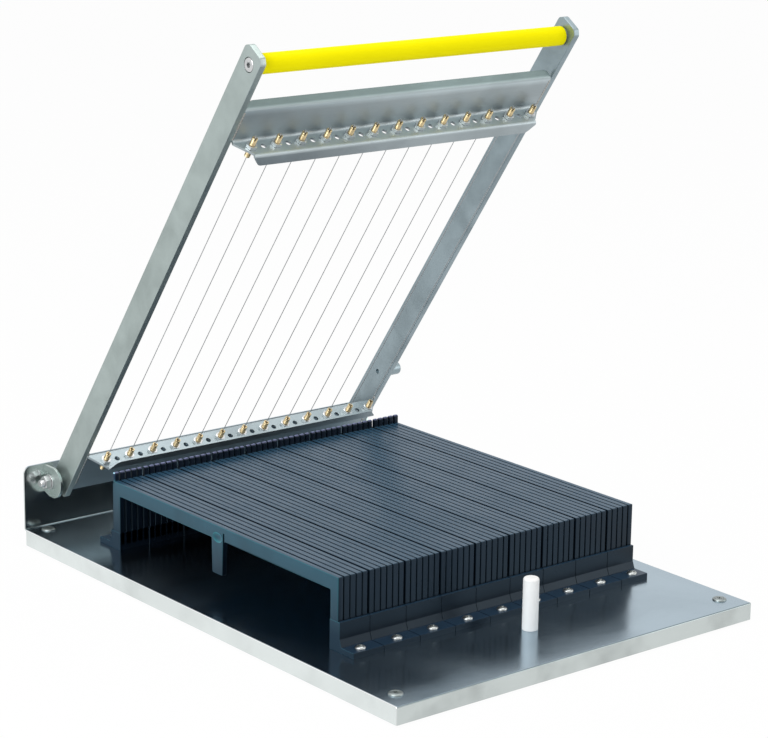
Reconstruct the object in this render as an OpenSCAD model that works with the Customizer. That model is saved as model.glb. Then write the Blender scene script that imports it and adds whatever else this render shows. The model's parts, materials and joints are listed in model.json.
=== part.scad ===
// Wire frame cutter for slabs of chocolate: a slotted bed on a sheet tray and a hinged frame of taut wires.
// Millimetres, Z up, X to the user's right, Y to the back; the origin is under the middle of the tray.

/* [Bed] */
// Distance from one bed slat to the next
slat_pitch = 7.5; // [7:0.1:8]
// Width of the slot between two slats
slot_w = 1.1; // [0.8:0.1:2]
// Number of slats in each of the inner bed modules
inner_slat_count = 6; // [5:1:7]
// Number of slats in each of the two end modules
end_slat_count = 5; // [4:1:6]
// Number of inner bed modules
inner_module_count = 7; // [7:1:7]
// Depth of the bed, front face to rear face
bed_d = 390; // [360:1:420]
// Height of the bed above the tray
bed_h = 74.5; // [70:0.5:80]
// Thickness of the top bar of a slat
bar_t = 15; // [10:0.5:20]
// Thickness of the front leg of a slat
leg_front_t = 12.5; // [9:0.5:16]
// Thickness of the rear leg of a slat
leg_rear_t = 14; // [9:0.5:18]
// Height of the slot bottoms in the front legs
slot_front_z = 30; // [26:0.5:34]
// Height of the slot bottoms in the rear legs
slot_rear_z = 19; // [17:0.5:20]
// How far the band under the slots stands out
band_out = 3; // [1:0.5:4]
// Height of the lower edge of that band
band_low = 13; // [10:0.5:15]
// Thickness of the foot flange of a module
flange_t = 5.5; // [4:0.5:7]
// Reach of the foot flange from the bed face
flange_reach = 25; // [22:0.5:28]
// Distance of the module screws from the bed face
screw_reach = 16.5; // [14:0.5:18]
// Height of the fence prongs above the slats
prong_h = 9.2; // [6:0.2:12]
// Thickness of a fence prong
prong_t = 4.6; // [3:0.2:6]
// Width of the post that hangs from the end slats
post_w = 20; // [16:1:22]
// How far the posts lie behind the middle of the bed
post_off = 3.5; // [0:0.5:3.5]
// How much a post narrows on each side towards its lower end
post_taper = 1.2; // [0:0.2:3]
// Width of the slot in the bridge in front of a post
post_slot_w = 2; // [1:0.5:4]
// Height of that slot
post_slot_h = 9; // [4:0.5:11]
// Clear height below the hanging post
post_low = 23; // [16:1:30]
// Gap between two neighbouring modules
module_gap = 0.4; // [0.2:0.1:0.8]

/* [Tray] */
// Tray edge to bed, left and right
side_margin = 37.5; // [36:0.5:60]
// How far the bed and frame sit to the right of the tray's middle
bed_shift = 5.5; // [0:0.5:6]
// Tray edge to bed, at the front
front_margin = 142.5; // [120:0.5:180]
// Upstand to bed, at the rear
rear_margin = 107.5; // [100:0.5:120]
// Thickness of the folded sheet
sheet_t = 2; // [1.5:0.5:3]
// Height of the folded skirt
skirt_h = 18; // [14:1:30]
// Height of the rear upstand above the tray
upstand_h = 70.5; // [66:0.5:76]
// Corner radius of the upstand
upstand_r = 8; // [3:1:14]
// How far the rubber feet reach below the skirt
foot_drop = 2; // [1:0.5:6]
// Diameter of a rubber foot
foot_d = 22; // [16:1:26]
// Distance of the foot screws from the tray sides
foot_side = 20; // [16:1:28]
// Distance of the foot screws from the front edge
foot_front = 26; // [18:1:34]
// Distance of the foot screws from the upstand
foot_rear = 15; // [14:1:22]
// Diameter of the flat rings under the foot screws
foot_ring_d = 14.5; // [12:0.5:18]
// Thread diameter of the foot, module and peg screws
small_d = 5; // [4:0.5:6]
// Head diameter of the module screws
small_head_d = 11; // [9:0.5:12]
// Head height of the small screws
small_head_h = 3; // [2:0.2:4]

/* [Hinge] */
// Height of the hinge axis above the tray
pivot_up = 52.5; // [50:0.5:55]
// Distance of the hinge axis from the upstand
pivot_gap = 11.5; // [11:0.5:14]
// Radius of the round part of a hinge lug
lug_r = 17; // [14:0.5:20]
// Thickness of a hinge lug
lug_t = 3; // [2:0.5:5]
// Thickness of the spacer between arm and lug
spacer_t = 6.5; // [4:0.5:8]
// Diameter of the spacer
spacer_d = 16; // [13:0.5:20]
// Diameter of the pivot bolt
pivot_d = 8; // [6:0.5:10]
// Thickness of the washer under the pivot nuts
washer_t = 1.5; // [1:0.5:3]
// Diameter of that washer
washer_d = 17; // [14:0.5:22]

/* [Frame] */
// Angle of the raised frame above the tray
frame_angle = 55; // [40:1:80]
// Length of an arm, hinge axis to handle end
arm_len = 625; // [600:1:680]
// Width of the flat bar of an arm
arm_w = 30; // [26:1:34]
// Thickness of the flat bar of an arm
arm_t = 7; // [5:0.5:9]
// How far the bar's middle lies below the hinge axis
arm_drop = 5.5; // [4:0.5:6]
// Clear gap between bed and arm
arm_gap = 1.5; // [1:0.5:4]
// Corner cut at the handle end of an arm
arm_corner = 5; // [2:0.5:9]
// Distance of the handle from the end of an arm
handle_in = 17; // [14:0.5:24]
// Diameter of the yellow sleeve
sleeve_d = 20; // [17:0.5:25]
// Diameter of the rod inside the sleeve
rod_d = 12; // [10:0.5:14]
// Thickness of the collars at the ends of the sleeve
collar_t = 2; // [1:0.5:4]
// Distance of the arm knob from the hinge axis
knob_s = 93.5; // [85:0.5:140]
// Diameter of the arm knob
knob_d = 14.5; // [10:0.5:16]
// Length of the arm knob outside the arm
knob_l = 23; // [8:1:23]

/* [Wires] */
// Slats from one wire to the next
slats_per_wire = 4; // [4:1:4]
// Number of wires
wire_count = 13; // [13:2:13]
// Diameter of a wire
wire_d = 0.8; // [0.4:0.1:0.9]
// How far the wires lie below the hinge axis
wire_drop = 31; // [30:0.5:32]
// Thickness of the sheet of the wire bars
bar_sheet_t = 2.5; // [2:0.5:3.5]
// Distance of the upper bar's flange from the end of an arm
upper_in = 102; // [95:1:108]
// Distance of the lower bar's flange from the hinge axis
lower_s = 61.5; // [58:0.5:66]
// Depth of a bar's flange
ledge_d = 23; // [21:0.5:26]
// Depth of the lip along the upper bar's flange, towards the hinge
upper_lip_h = 14; // [8:0.5:18]
// Depth of the lip along the lower bar's flange, away from the hinge
lower_lip_h = 10; // [6:0.5:14]
// Height of the upper bar's web
upper_web_h = 39.5; // [36:0.5:44]
// Width of the strip bent back along the top edge of that web
strip_w = 9.5; // [7:0.5:14]
// Angle of that strip
strip_angle = 45; // [30:5:60]
// Cut at the ends of the strip, along the bar
strip_cut = 6; // [3:0.5:16]
// Height of the lower bar's web
lower_web_h = 55; // [46:1:57]
// Cut at the ends of a flange, along the bar
miter = 15; // [8:0.5:20]
// Diameter of a tension screw
tune_d = 6; // [5:0.5:7]
// Length of a tension screw
tune_l = 24; // [20:1:28]
// How far a tension screw stands out above the flange
tune_up = 12; // [10:0.5:14]
// Width across the flats of a tension nut
tune_af = 10; // [8:0.5:11]
// Height of a tension nut
tune_nut_h = 4; // [3:0.5:6]
// Diameter of the unused holes between the screws
spare_d = 6; // [4:0.5:7]

/* [Stop peg] */
// Height of the peg
peg_h = 54; // [50:0.5:58]
// Diameter of the peg
peg_d = 16; // [12:0.5:20]
// Distance of the peg from the bed face
peg_reach = 64.5; // [60:0.5:68]
// Radius of the rounded top edge of the peg
peg_edge_r = 3; // [1:0.5:5]

/* [Hidden] */
$fn = 48;
fit = 0.05;
loose = 0.25;
over = 1;
module_count = inner_module_count + 2;
slat_count = inner_module_count * inner_slat_count + 2 * end_slat_count;
bed_w = slat_count * slat_pitch;
module_w = inner_slat_count * slat_pitch;
base_w = bed_w + 2 * side_margin;
base_d = front_margin + bed_d + rear_margin + sheet_t;
top_z = foot_drop + skirt_h;
face_y = base_d / 2 - sheet_t;
bed_front = face_y - rear_margin - bed_d;
pivot_y = face_y - pivot_gap;
pivot_z = top_z + pivot_up;
handle_s = arm_len - handle_in;
upper_s = arm_len - upper_in;
arm_in = bed_w / 2 + arm_gap;
arm_out = arm_in + arm_t;
lug_in = arm_out + spacer_t + 2 * fit;
lug_out = lug_in + lug_t;
arm_n0 = -arm_drop - arm_w / 2;
arm_n1 = -arm_drop + arm_w / 2;
wire_gap = slats_per_wire * slat_pitch;
nut_h_share = 0.8;
af_share = 1.6;
pivot_nut_h = pivot_d * nut_h_share;
pivot_af = pivot_d * af_share;
pivot_head_h_share = 0.65;
pivot_head_h = pivot_d * pivot_head_h_share;
bolt_end_share = 0.65;
bolt_end = pivot_d * bolt_end_share;
small_nut_h = small_d * nut_h_share;
small_af = small_d * af_share;
small_l = flange_t + sheet_t + small_nut_h + fit;
peg_screw_depth_share = 0.4;
peg_bore = peg_h * peg_screw_depth_share;
handle_screw_share = 0.5;
handle_screw_d = rod_d * handle_screw_share;
handle_screw_head = rod_d;
handle_screw_depth_share = 2.2;
handle_bore = rod_d * handle_screw_depth_share;
socket_share = 0.5;
foot_h = top_z - sheet_t;
foot_bore_share = 0.5;
foot_bore = foot_h * foot_bore_share;
foot_screw_share = 0.9;
foot_ring_h_share = 0.125;
foot_ring_h = foot_ring_d * foot_ring_h_share;
foot_head_share = 0.65;
foot_head_d = foot_ring_d * foot_head_share;
crimp_share = 3;
crimp_d = wire_d * crimp_share;
slot_share = 0.2;
slot_depth_share = 0.35;

// Placing helpers
module along_x(x0, len) translate([x0, 0, 0]) rotate([90, 0, 90]) linear_extrude(len) children();
module rod_x(x0, len, d) translate([x0, 0, 0]) rotate([0, 90, 0]) cylinder(h = len, d = d);
module in_frame() translate([bed_shift, pivot_y, pivot_z]) rotate([-frame_angle, 0, 0]) children();
module at_s(s, n) translate([0, -s, n]) children();
module side(k) translate([bed_shift, 0, 0]) scale_x(k) translate([-bed_shift, 0, 0]) children();
module scale_x(k) if (k < 0) mirror([1, 0, 0]) children(); else children();
module mirror_frame(k) in_frame() scale_x(k) children();
module hex(af, h) cylinder(h = h, d = af / cos(30), $fn = 6);
module at_feet() for (sx = [-1, 1]) {
  translate([sx * (base_w / 2 - foot_side), -base_d / 2 + foot_front, 0]) children();
  translate([sx * (base_w / 2 - foot_side), face_y - foot_rear, 0]) children();
}
module at_bed_screws(y) for (i = [0 : module_count - 1])
  translate([bed_shift + (i - (module_count - 1) / 2) * module_w, y, 0]) children();
front_screw_y = bed_front - screw_reach;
rear_screw_y = bed_front + bed_d + screw_reach;

// Tray folded from one sheet: top, skirt on three sides, upstand at the rear
module base_tray() color([0.78, 0.8, 0.82]) difference() {
  union() {
    translate([-base_w / 2, -base_d / 2, top_z - sheet_t]) cube([base_w, base_d, sheet_t]);
    translate([-base_w / 2, -base_d / 2, foot_drop]) cube([base_w, sheet_t, skirt_h]);
    for (x = [-base_w / 2, base_w / 2 - sheet_t])
      translate([x, -base_d / 2, foot_drop]) cube([sheet_t, base_d - sheet_t, skirt_h]);
    translate([-base_w / 2, face_y, top_z - sheet_t]) cube([base_w, sheet_t, upstand_h - upstand_r + sheet_t]);
    translate([-base_w / 2 + upstand_r, face_y, top_z]) cube([base_w - 2 * upstand_r, sheet_t, upstand_h]);
    for (x = [-base_w / 2 + upstand_r, base_w / 2 - upstand_r])
      translate([x, face_y + sheet_t, top_z + upstand_h - upstand_r]) rotate([90, 0, 0])
        cylinder(h = sheet_t, r = upstand_r);
  }
  at_feet() translate([0, 0, top_z - sheet_t - over])
    cylinder(h = sheet_t + 2 * over, d = small_d + 2 * loose);
  for (y = [front_screw_y, rear_screw_y]) at_bed_screws(y)
    translate([0, 0, top_z - sheet_t - over]) cylinder(h = sheet_t + 2 * over, d = small_d + 2 * loose);
  translate([0, bed_front - peg_reach, top_z - sheet_t - over])
    cylinder(h = sheet_t + 2 * over, d = small_d + 2 * loose);
}

// Hinge: lug, bolt, spacer, washer and nuts, drawn for the right side
module hinge_lug(k) color([0.75, 0.78, 0.78]) side(k) difference() {
  union() {
    translate([bed_shift, face_y - lug_r, pivot_z]) rod_x(lug_in, lug_t, 2 * lug_r);
    translate([bed_shift + lug_in, face_y - lug_r, pivot_z - lug_r]) cube([lug_t, lug_r, 2 * lug_r]);
  }
  translate([bed_shift, pivot_y, pivot_z]) rod_x(lug_in - over, lug_t + 2 * over, pivot_d + 2 * fit);
}
module pivot_bolt(k) color([0.7, 0.7, 0.72]) side(k) translate([bed_shift, pivot_y, pivot_z]) difference() {
  union() {
    rod_x(arm_in - fit - pivot_head_h, pivot_head_h, pivot_d * af_share);
    rod_x(arm_in - fit, bolt_reach, pivot_d);
  }
  translate([arm_in - fit - pivot_head_h - over, 0, 0]) rotate([0, 90, 0])
    hex(pivot_d * socket_share * af_share / 2, pivot_head_h * socket_share + over);
}
bolt_reach = lug_out - arm_in + fit + washer_t + pivot_nut_h + bolt_end;
module pivot_spacer(k) color([0.6, 0.62, 0.62]) side(k) translate([bed_shift, pivot_y, pivot_z])
  difference() {
    rod_x(arm_out + fit, spacer_t + fit, spacer_d);
    rod_x(arm_out - over, spacer_t + 2 * over, pivot_d + 2 * fit);
  }
module pivot_washer(k) color([0.8, 0.8, 0.8]) side(k) translate([bed_shift, pivot_y, pivot_z])
  difference() {
    rod_x(lug_out, washer_t, washer_d);
    rod_x(lug_out - over, washer_t + 2 * over, pivot_d + 2 * fit);
  }
module pivot_nut(k) color([0.62, 0.63, 0.66]) side(k) translate([bed_shift, pivot_y, pivot_z])
  translate([lug_out + washer_t, 0, 0]) difference() {
    rotate([0, 90, 0]) hex(pivot_af, pivot_nut_h);
    rod_x(-over, pivot_nut_h + 2 * over, pivot_d + 2 * fit);
  }

// Frame arm of flat bar, round at the hinge and with cut corners at the handle
module arm(k) color([0.72, 0.76, 0.74]) mirror_frame(k) difference() {
  union() {
    rod_x(arm_in, arm_t, 2 * arm_n1);
    along_x(arm_in, arm_t) polygon([[0, arm_n1], [arm_corner - arm_len, arm_n1],
      [-arm_len, arm_n1 - arm_corner], [-arm_len, arm_n0 + arm_corner], [arm_corner - arm_len, arm_n0],
      [arm_n1 - arm_corner, arm_n0], [arm_n1, arm_n0 + arm_corner], [arm_n1, 0]]);
  }
  rod_x(arm_in - over, arm_t + 2 * over, pivot_d + 2 * fit);
  at_s(handle_s, -arm_drop) {
    rod_x(arm_in - over, arm_t + 2 * over, handle_screw_d + 2 * fit);
    translate([arm_out - csk_h - fit, 0, 0]) rotate([0, 90, 0])
      cylinder(h = csk_h + fit, d1 = handle_screw_d + 2 * fit, d2 = handle_screw_head + 2 * fit);
  }
  if (k > 0) at_s(knob_s, -arm_drop) rod_x(arm_in - over, arm_t + 2 * over, small_d + 2 * fit);
}
csk_h = (handle_screw_head - handle_screw_d) / 2;
module handle_rod() color([0.7, 0.7, 0.7]) in_frame() at_s(handle_s, -arm_drop) difference() {
  rod_x(-arm_in, 2 * arm_in, rod_d);
  for (x = [-arm_in - over, arm_in - handle_bore]) rod_x(x, handle_bore + over, handle_screw_d + 2 * fit);
}
module handle_sleeve() color([0.98, 0.93, 0.05]) in_frame() at_s(handle_s, -arm_drop) difference() {
  rod_x(-arm_in + collar_t, 2 * (arm_in - collar_t), sleeve_d);
  rod_x(-arm_in, 2 * arm_in, rod_d + 2 * fit);
}
module handle_collars() color([0.65, 0.66, 0.66]) in_frame() at_s(handle_s, -arm_drop)
  for (x = [-arm_in, arm_in - collar_t]) difference() {
    rod_x(x, collar_t, (sleeve_d + rod_d) / 2);
    rod_x(x - over, collar_t + 2 * over, rod_d + 2 * fit);
  }
module handle_screw(k) color([0.45, 0.46, 0.47]) mirror_frame(k) at_s(handle_s, -arm_drop) difference() {
  union() {
    rod_x(arm_in - handle_bore * socket_share, handle_bore * socket_share + arm_t, handle_screw_d);
    translate([arm_out - csk_h, 0, 0]) rotate([0, 90, 0])
      cylinder(h = csk_h, d1 = handle_screw_d, d2 = handle_screw_head);
  }
  translate([arm_out - csk_h, 0, 0]) rotate([0, 90, 0]) hex(handle_screw_head * socket_share, csk_h + over);
}
module arm_knob() color([0.6, 0.62, 0.63]) in_frame() at_s(knob_s, -arm_drop) union() {
  rod_x(arm_in, arm_t + over, small_d);
  rod_x(arm_out, knob_l - knob_edge, knob_d);
  translate([arm_out + knob_l - knob_edge, 0, 0]) rotate([0, 90, 0])
    cylinder(h = knob_edge, d1 = knob_d, d2 = knob_d - 2 * knob_edge);
}
knob_edge_share = 0.12;
knob_edge = knob_d * knob_edge_share;

// Wire bars: web between the arms, flange for the screws, lip along the flange
module ledge(s, lip_y0, lip_y1) difference() {
  union() {
    at_s(s, 0) rotate([90, 0, 0]) mirror([0, 0, 1]) linear_extrude(bar_sheet_t)
      polygon([[-arm_in, arm_n0], [arm_in, arm_n0], [arm_in, arm_n0 + bar_sheet_t],
        [-arm_in, arm_n0 + bar_sheet_t]]);
    at_s(s, 0) rotate([90, 0, 0]) mirror([0, 0, 1]) linear_extrude(bar_sheet_t)
      polygon([[-arm_in, arm_n0], [miter - arm_in, arm_n0 - ledge_d], [arm_in - miter, arm_n0 - ledge_d],
        [arm_in, arm_n0]]);
    translate([0, 0, arm_n0 - ledge_d]) linear_extrude(bar_sheet_t)
      polygon([[miter - arm_in, lip_y0 - s], [arm_in - miter, lip_y0 - s], [arm_in - miter - lip_cut, lip_y1 - s],
        [miter + lip_cut - arm_in, lip_y1 - s]]);
  }
  for (i = [0 : wire_count - 1]) translate([(i - (wire_count - 1) / 2) * wire_gap, 0, 0])
    screw_hole(s, tune_d + 2 * fit);
  for (i = [0 : wire_count - 2]) translate([(i - (wire_count - 2) / 2) * wire_gap, 0, 0])
    screw_hole(s, spare_d);
}
lip_cut_share = 0.5;
lip_cut = miter * lip_cut_share;
module screw_hole(s, d) at_s(s + over, -wire_drop) rotate([-90, 0, 0])
  cylinder(h = bar_sheet_t + 2 * over, d = d);
module upper_wire_bar() color([0.72, 0.76, 0.74]) in_frame() union() {
  ledge(upper_s, 0, upper_lip_h);
  along_x(-arm_in, 2 * arm_in) polygon([[bar_sheet_t - upper_s, arm_n0], [web_top, arm_n0],
    [web_top, arm_n0 + bar_sheet_t], [bar_sheet_t - upper_s, arm_n0 + bar_sheet_t]]);
  translate([0, web_top, arm_n0]) rotate([-strip_angle, 0, 0]) linear_extrude(bar_sheet_t)
    polygon([[-arm_in, 0], [arm_in, 0], [arm_in - strip_cut, -strip_w], [strip_cut - arm_in, -strip_w]]);
}
web_top = -upper_s - upper_web_h;
module lower_wire_bar() color([0.72, 0.76, 0.74]) in_frame() union() {
  ledge(lower_s, bar_sheet_t, -lower_lip_h);
  along_x(-arm_in, 2 * arm_in) polygon([[-lower_s, arm_n0], [lower_web_h - lower_s, arm_n0],
    [lower_web_h - lower_s, arm_n0 + bar_sheet_t], [-lower_s, arm_n0 + bar_sheet_t]]);
}

// Hollow slotted brass screws, their nuts and the taut wires
module at_wires() for (i = [0 : wire_count - 1])
  translate([(i - (wire_count - 1) / 2) * wire_gap, 0, -wire_drop]) children();
module brass_screws(s) in_frame() at_wires() translate([0, -s - tune_up, 0]) rotate([-90, 0, 0])
  difference() {
    cylinder(h = tune_l, d = tune_d);
    translate([0, 0, -over]) cylinder(h = tune_l + 2 * over, d = wire_d + 2 * fit);
    translate([-tune_d, -tune_d * slot_share / 2, -over])
      cube([2 * tune_d, tune_d * slot_share, over + tune_d * slot_depth_share]);
  }
module screw_nuts(s) in_frame() at_wires() translate([0, -s - tune_nut_h, 0]) rotate([-90, 0, 0])
  difference() {
    hex(tune_af, tune_nut_h);
    translate([0, 0, -over]) cylinder(h = tune_nut_h + 2 * over, d = tune_d + 2 * fit);
  }
module tension_screws() color([0.85, 0.68, 0.3]) brass_screws(upper_s);
module anchor_screws() color([0.85, 0.68, 0.3]) brass_screws(lower_s);
module tension_nuts() color([0.8, 0.8, 0.8]) screw_nuts(upper_s);
module anchor_nuts() color([0.8, 0.8, 0.8]) screw_nuts(lower_s);
wire_top = upper_s + tune_up;
wire_low = lower_s + tune_up - tune_l;
module cutting_wires() color([0.55, 0.56, 0.57]) in_frame() at_wires() {
  translate([0, -wire_top - crimp_d, 0]) rotate([-90, 0, 0]) {
    cylinder(h = wire_top - wire_low + 2 * crimp_d, d = wire_d, $fn = 16);
    cylinder(h = crimp_d, d = crimp_d, $fn = 16);
  }
  translate([0, -wire_low, 0]) rotate([-90, 0, 0]) cylinder(h = crimp_d, d = crimp_d, $fn = 16);
}

// Bed module: bridge shaped slats on a solid band and a foot flange at each end
module bridge() polygon([[0, flange_t], [0, bed_h], [bed_d, bed_h], [bed_d, flange_t],
  [bed_d - leg_rear_t, flange_t], [bed_d - leg_rear_t, bed_h - bar_t], [leg_front_t, bed_h - bar_t],
  [leg_front_t, flange_t]]);
module foot_profile(top, leg) polygon([[leg, 0], [leg, top], [-band_out, top], [-band_out, band_low],
  [-2 * band_out, flange_t], [-flange_reach, flange_t], [-flange_reach, 0]]);
post_y = bed_d / 2 + post_off;
module post() polygon([[post_y - post_w / 2, bed_h - bar_t + over], [post_y + post_w / 2, bed_h - bar_t + over],
  [post_y + post_w / 2, bed_h - bar_t], [post_y + post_w / 2 - post_taper, post_low],
  [post_y - post_w / 2 + post_taper, post_low], [post_y - post_w / 2, bed_h - bar_t]]);
function first_slat(i) = i == 0 ? 0 : end_slat_count + (i - 1) * inner_slat_count;
function slats_in(i) = (i == 0 || i == module_count - 1) ? end_slat_count : inner_slat_count;
function module_x(i) = bed_shift - bed_w / 2 + first_slat(i) * slat_pitch;
module bed_module(i) color([0.12, 0.13, 0.16]) translate([module_x(i), bed_front, top_z]) {
  w = slats_in(i) * slat_pitch;
  difference() {
    union() {
      along_x(module_gap / 2, w - module_gap) bridge();
      along_x(module_gap / 2, w - module_gap) foot_profile(slot_front_z, leg_front_t);
      translate([0, bed_d, 0]) mirror([0, 1, 0])
        along_x(module_gap / 2, w - module_gap) foot_profile(slot_rear_z, leg_rear_t);
      translate([0, bed_d - prong_t, bed_h - over])
        translate([module_gap / 2, 0, 0]) cube([w - module_gap, prong_t, prong_h - prong_t / 2 + over]);
      translate([0, bed_d - prong_t / 2, bed_h + prong_h - prong_t / 2])
        rod_x(module_gap / 2, w - module_gap, prong_t);
      if (i == 0) along_x(module_gap / 2, slat_pitch - slot_w) post();
      if (i == module_count - 1) along_x(w - slat_pitch + slot_w - module_gap / 2, slat_pitch - slot_w) post();
    }
    for (j = [0 : slats_in(i)]) translate([j * slat_pitch - slot_w / 2, 0, 0]) {
      if (j > 0 || i > 0) if (j < slats_in(i) || i < module_count - 1) {
        translate([0, -band_out - over, slot_front_z]) cube([slot_w, bed_d / 2 + band_out + 2 * over, bed_h]);
        translate([0, bed_d / 2, slot_rear_z]) cube([slot_w, bed_d / 2 + band_out + over, bed_h]);
      }
    }
    if (i == 0 || i == module_count - 1)
      translate([i == 0 ? -over : w - slat_pitch, post_y - post_w / 2 - post_slot_w, bed_h - bar_t - over])
        cube([slat_pitch + over, post_slot_w, post_slot_h + over]);
    for (y = [-screw_reach, bed_d + screw_reach])
      translate([bed_shift + (i - (module_count - 1) / 2) * module_w - module_x(i), y, -over])
        cylinder(h = flange_t + 2 * over, d = small_d + 2 * loose);
  }
}

// Small screws and nuts
module small_screw(l) difference() {
  union() {
    cylinder(h = small_head_h, d1 = small_head_d, d2 = small_head_d - small_head_h);
    translate([0, 0, -l]) cylinder(h = l + over, d = small_d);
  }
  for (a = [0, 90]) rotate([0, 0, a])
    translate([-small_head_d / 4, -small_d * slot_share / 2, small_head_h / 2])
      cube([small_head_d / 2, small_d * slot_share, small_head_h]);
}
module small_nut() difference() {
  hex(small_af, small_nut_h);
  translate([0, 0, -over]) cylinder(h = small_nut_h + 2 * over, d = small_d + 2 * fit);
}
module bed_screws(y) color([0.6, 0.62, 0.64]) at_bed_screws(y)
  translate([0, 0, top_z + flange_t]) small_screw(small_l);
module bed_nuts(y) color([0.7, 0.7, 0.7]) at_bed_screws(y)
  translate([0, 0, top_z - sheet_t - small_nut_h]) small_nut();
module stop_peg() color([0.95, 0.95, 0.95]) translate([0, bed_front - peg_reach, top_z]) difference() {
  union() {
    cylinder(h = peg_h - peg_edge_r, d = peg_d);
    cylinder(h = peg_h, d = peg_d - 2 * peg_edge_r);
    translate([0, 0, peg_h - peg_edge_r]) rotate_extrude() intersection() {
      translate([peg_d / 2 - peg_edge_r, 0]) circle(r = peg_edge_r);
      translate([peg_d / 2 - peg_edge_r, 0]) square(peg_edge_r);
    }
  }
  translate([0, 0, -over]) cylinder(h = peg_bore + over, d = small_d + 2 * fit);
}
module peg_screw() color([0.6, 0.6, 0.6]) translate([0, bed_front - peg_reach, top_z - sheet_t])
  mirror([0, 0, 1]) small_screw(sheet_t + peg_bore * foot_screw_share);
module foot_screws() color([0.75, 0.76, 0.77]) at_feet() translate([0, 0, top_z]) difference() {
  union() {
    cylinder(h = foot_ring_h, d1 = small_d, d2 = foot_head_d);
    translate([0, 0, -sheet_t - foot_bore * foot_screw_share])
      cylinder(h = sheet_t + foot_bore * foot_screw_share + foot_ring_h / 2, d = small_d);
  }
  for (a = [0, 90]) rotate([0, 0, a])
    translate([-foot_head_d * cross_share / 2, -small_d * slot_share / 2, foot_ring_h / 2])
      cube([foot_head_d * cross_share, small_d * slot_share, foot_ring_h]);
}
cross_share = 0.55;
module foot_washers() color([0.7, 0.72, 0.73]) at_feet() translate([0, 0, top_z]) difference() {
  cylinder(h = foot_ring_h, d1 = foot_ring_d, d2 = foot_ring_d - foot_ring_h);
  translate([0, 0, -over]) cylinder(h = foot_ring_h + 2 * over, d = small_d + 2 * fit);
  cylinder(h = foot_ring_h, d1 = small_d + 2 * fit, d2 = foot_head_d + 2 * fit);
}
module rubber_feet() color([0.1, 0.1, 0.1]) at_feet() difference() {
  union() {
    cylinder(h = foot_h, d1 = foot_d - foot_drop, d2 = foot_d);
  }
  translate([0, 0, foot_h - foot_bore]) cylinder(h = foot_bore + over, d = small_d + 2 * fit);
}

base_tray();
hinge_lug(-1);  // hinge_lug_left
hinge_lug(1);  // hinge_lug_right
pivot_bolt(-1);  // pivot_bolt_left
pivot_bolt(1);  // pivot_bolt_right
pivot_spacer(-1);  // pivot_spacer_left
pivot_spacer(1);  // pivot_spacer_right
pivot_washer(-1);  // pivot_washer_left
pivot_washer(1);  // pivot_washer_right
pivot_nut(-1);  // pivot_nut_left
pivot_nut(1);  // pivot_nut_right
arm(-1);  // arm_left
arm(1);  // arm_right
handle_rod();
handle_sleeve();
handle_collars();
handle_screw(-1);  // handle_screw_left
handle_screw(1);  // handle_screw_right
arm_knob();
upper_wire_bar();
lower_wire_bar();
tension_screws();
tension_nuts();
anchor_screws();
anchor_nuts();
cutting_wires();
bed_module(0);  // bed_module_1
bed_module(1);  // bed_module_2
bed_module(2);  // bed_module_3
bed_module(3);  // bed_module_4
bed_module(4);  // bed_module_5
bed_module(5);  // bed_module_6
bed_module(6);  // bed_module_7
bed_module(7);  // bed_module_8
bed_module(8);  // bed_module_9
bed_screws(front_screw_y);  // bed_screws_front
bed_screws(rear_screw_y);  // bed_screws_rear
bed_nuts(front_screw_y);  // bed_nuts_front
bed_nuts(rear_screw_y);  // bed_nuts_rear
stop_peg();
peg_screw();
foot_screws();
foot_washers();
rubber_feet();
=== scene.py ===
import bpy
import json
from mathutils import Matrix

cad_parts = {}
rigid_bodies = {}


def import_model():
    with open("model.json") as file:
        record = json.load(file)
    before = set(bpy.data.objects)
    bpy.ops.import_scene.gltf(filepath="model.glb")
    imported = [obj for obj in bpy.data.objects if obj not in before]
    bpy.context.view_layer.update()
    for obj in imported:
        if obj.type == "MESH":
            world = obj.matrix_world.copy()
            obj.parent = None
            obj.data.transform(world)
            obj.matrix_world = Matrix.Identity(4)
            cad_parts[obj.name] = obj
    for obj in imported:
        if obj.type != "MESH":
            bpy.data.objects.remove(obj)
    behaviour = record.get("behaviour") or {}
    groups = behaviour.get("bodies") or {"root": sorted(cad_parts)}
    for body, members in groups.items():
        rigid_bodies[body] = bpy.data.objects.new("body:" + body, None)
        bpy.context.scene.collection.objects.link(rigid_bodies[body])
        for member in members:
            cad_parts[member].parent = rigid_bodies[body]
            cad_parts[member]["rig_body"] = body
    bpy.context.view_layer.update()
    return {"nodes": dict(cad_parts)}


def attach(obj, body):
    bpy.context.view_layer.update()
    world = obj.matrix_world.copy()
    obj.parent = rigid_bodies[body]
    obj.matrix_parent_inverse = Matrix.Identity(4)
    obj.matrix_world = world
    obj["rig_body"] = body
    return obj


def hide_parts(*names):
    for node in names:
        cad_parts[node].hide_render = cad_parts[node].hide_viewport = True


bl_info = {
    "name": "Wire frame cutter",
    "version": (1, 0, 0),
    "blender": (4, 5, 0),
    "location": "3D View > Sidebar > Cutter",
    "description": "Slotted bed on a folded tray with a hinged frame of taut wires",
    "category": "Object",
}

import json
import math

import bmesh
import bpy
from bpy.props import FloatProperty, FloatVectorProperty, PointerProperty
from bpy.types import Operator, Panel, PropertyGroup
from mathutils import Matrix, Vector
from mathutils.geometry import tessellate_polygon

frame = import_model()
MM = 0.001

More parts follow.
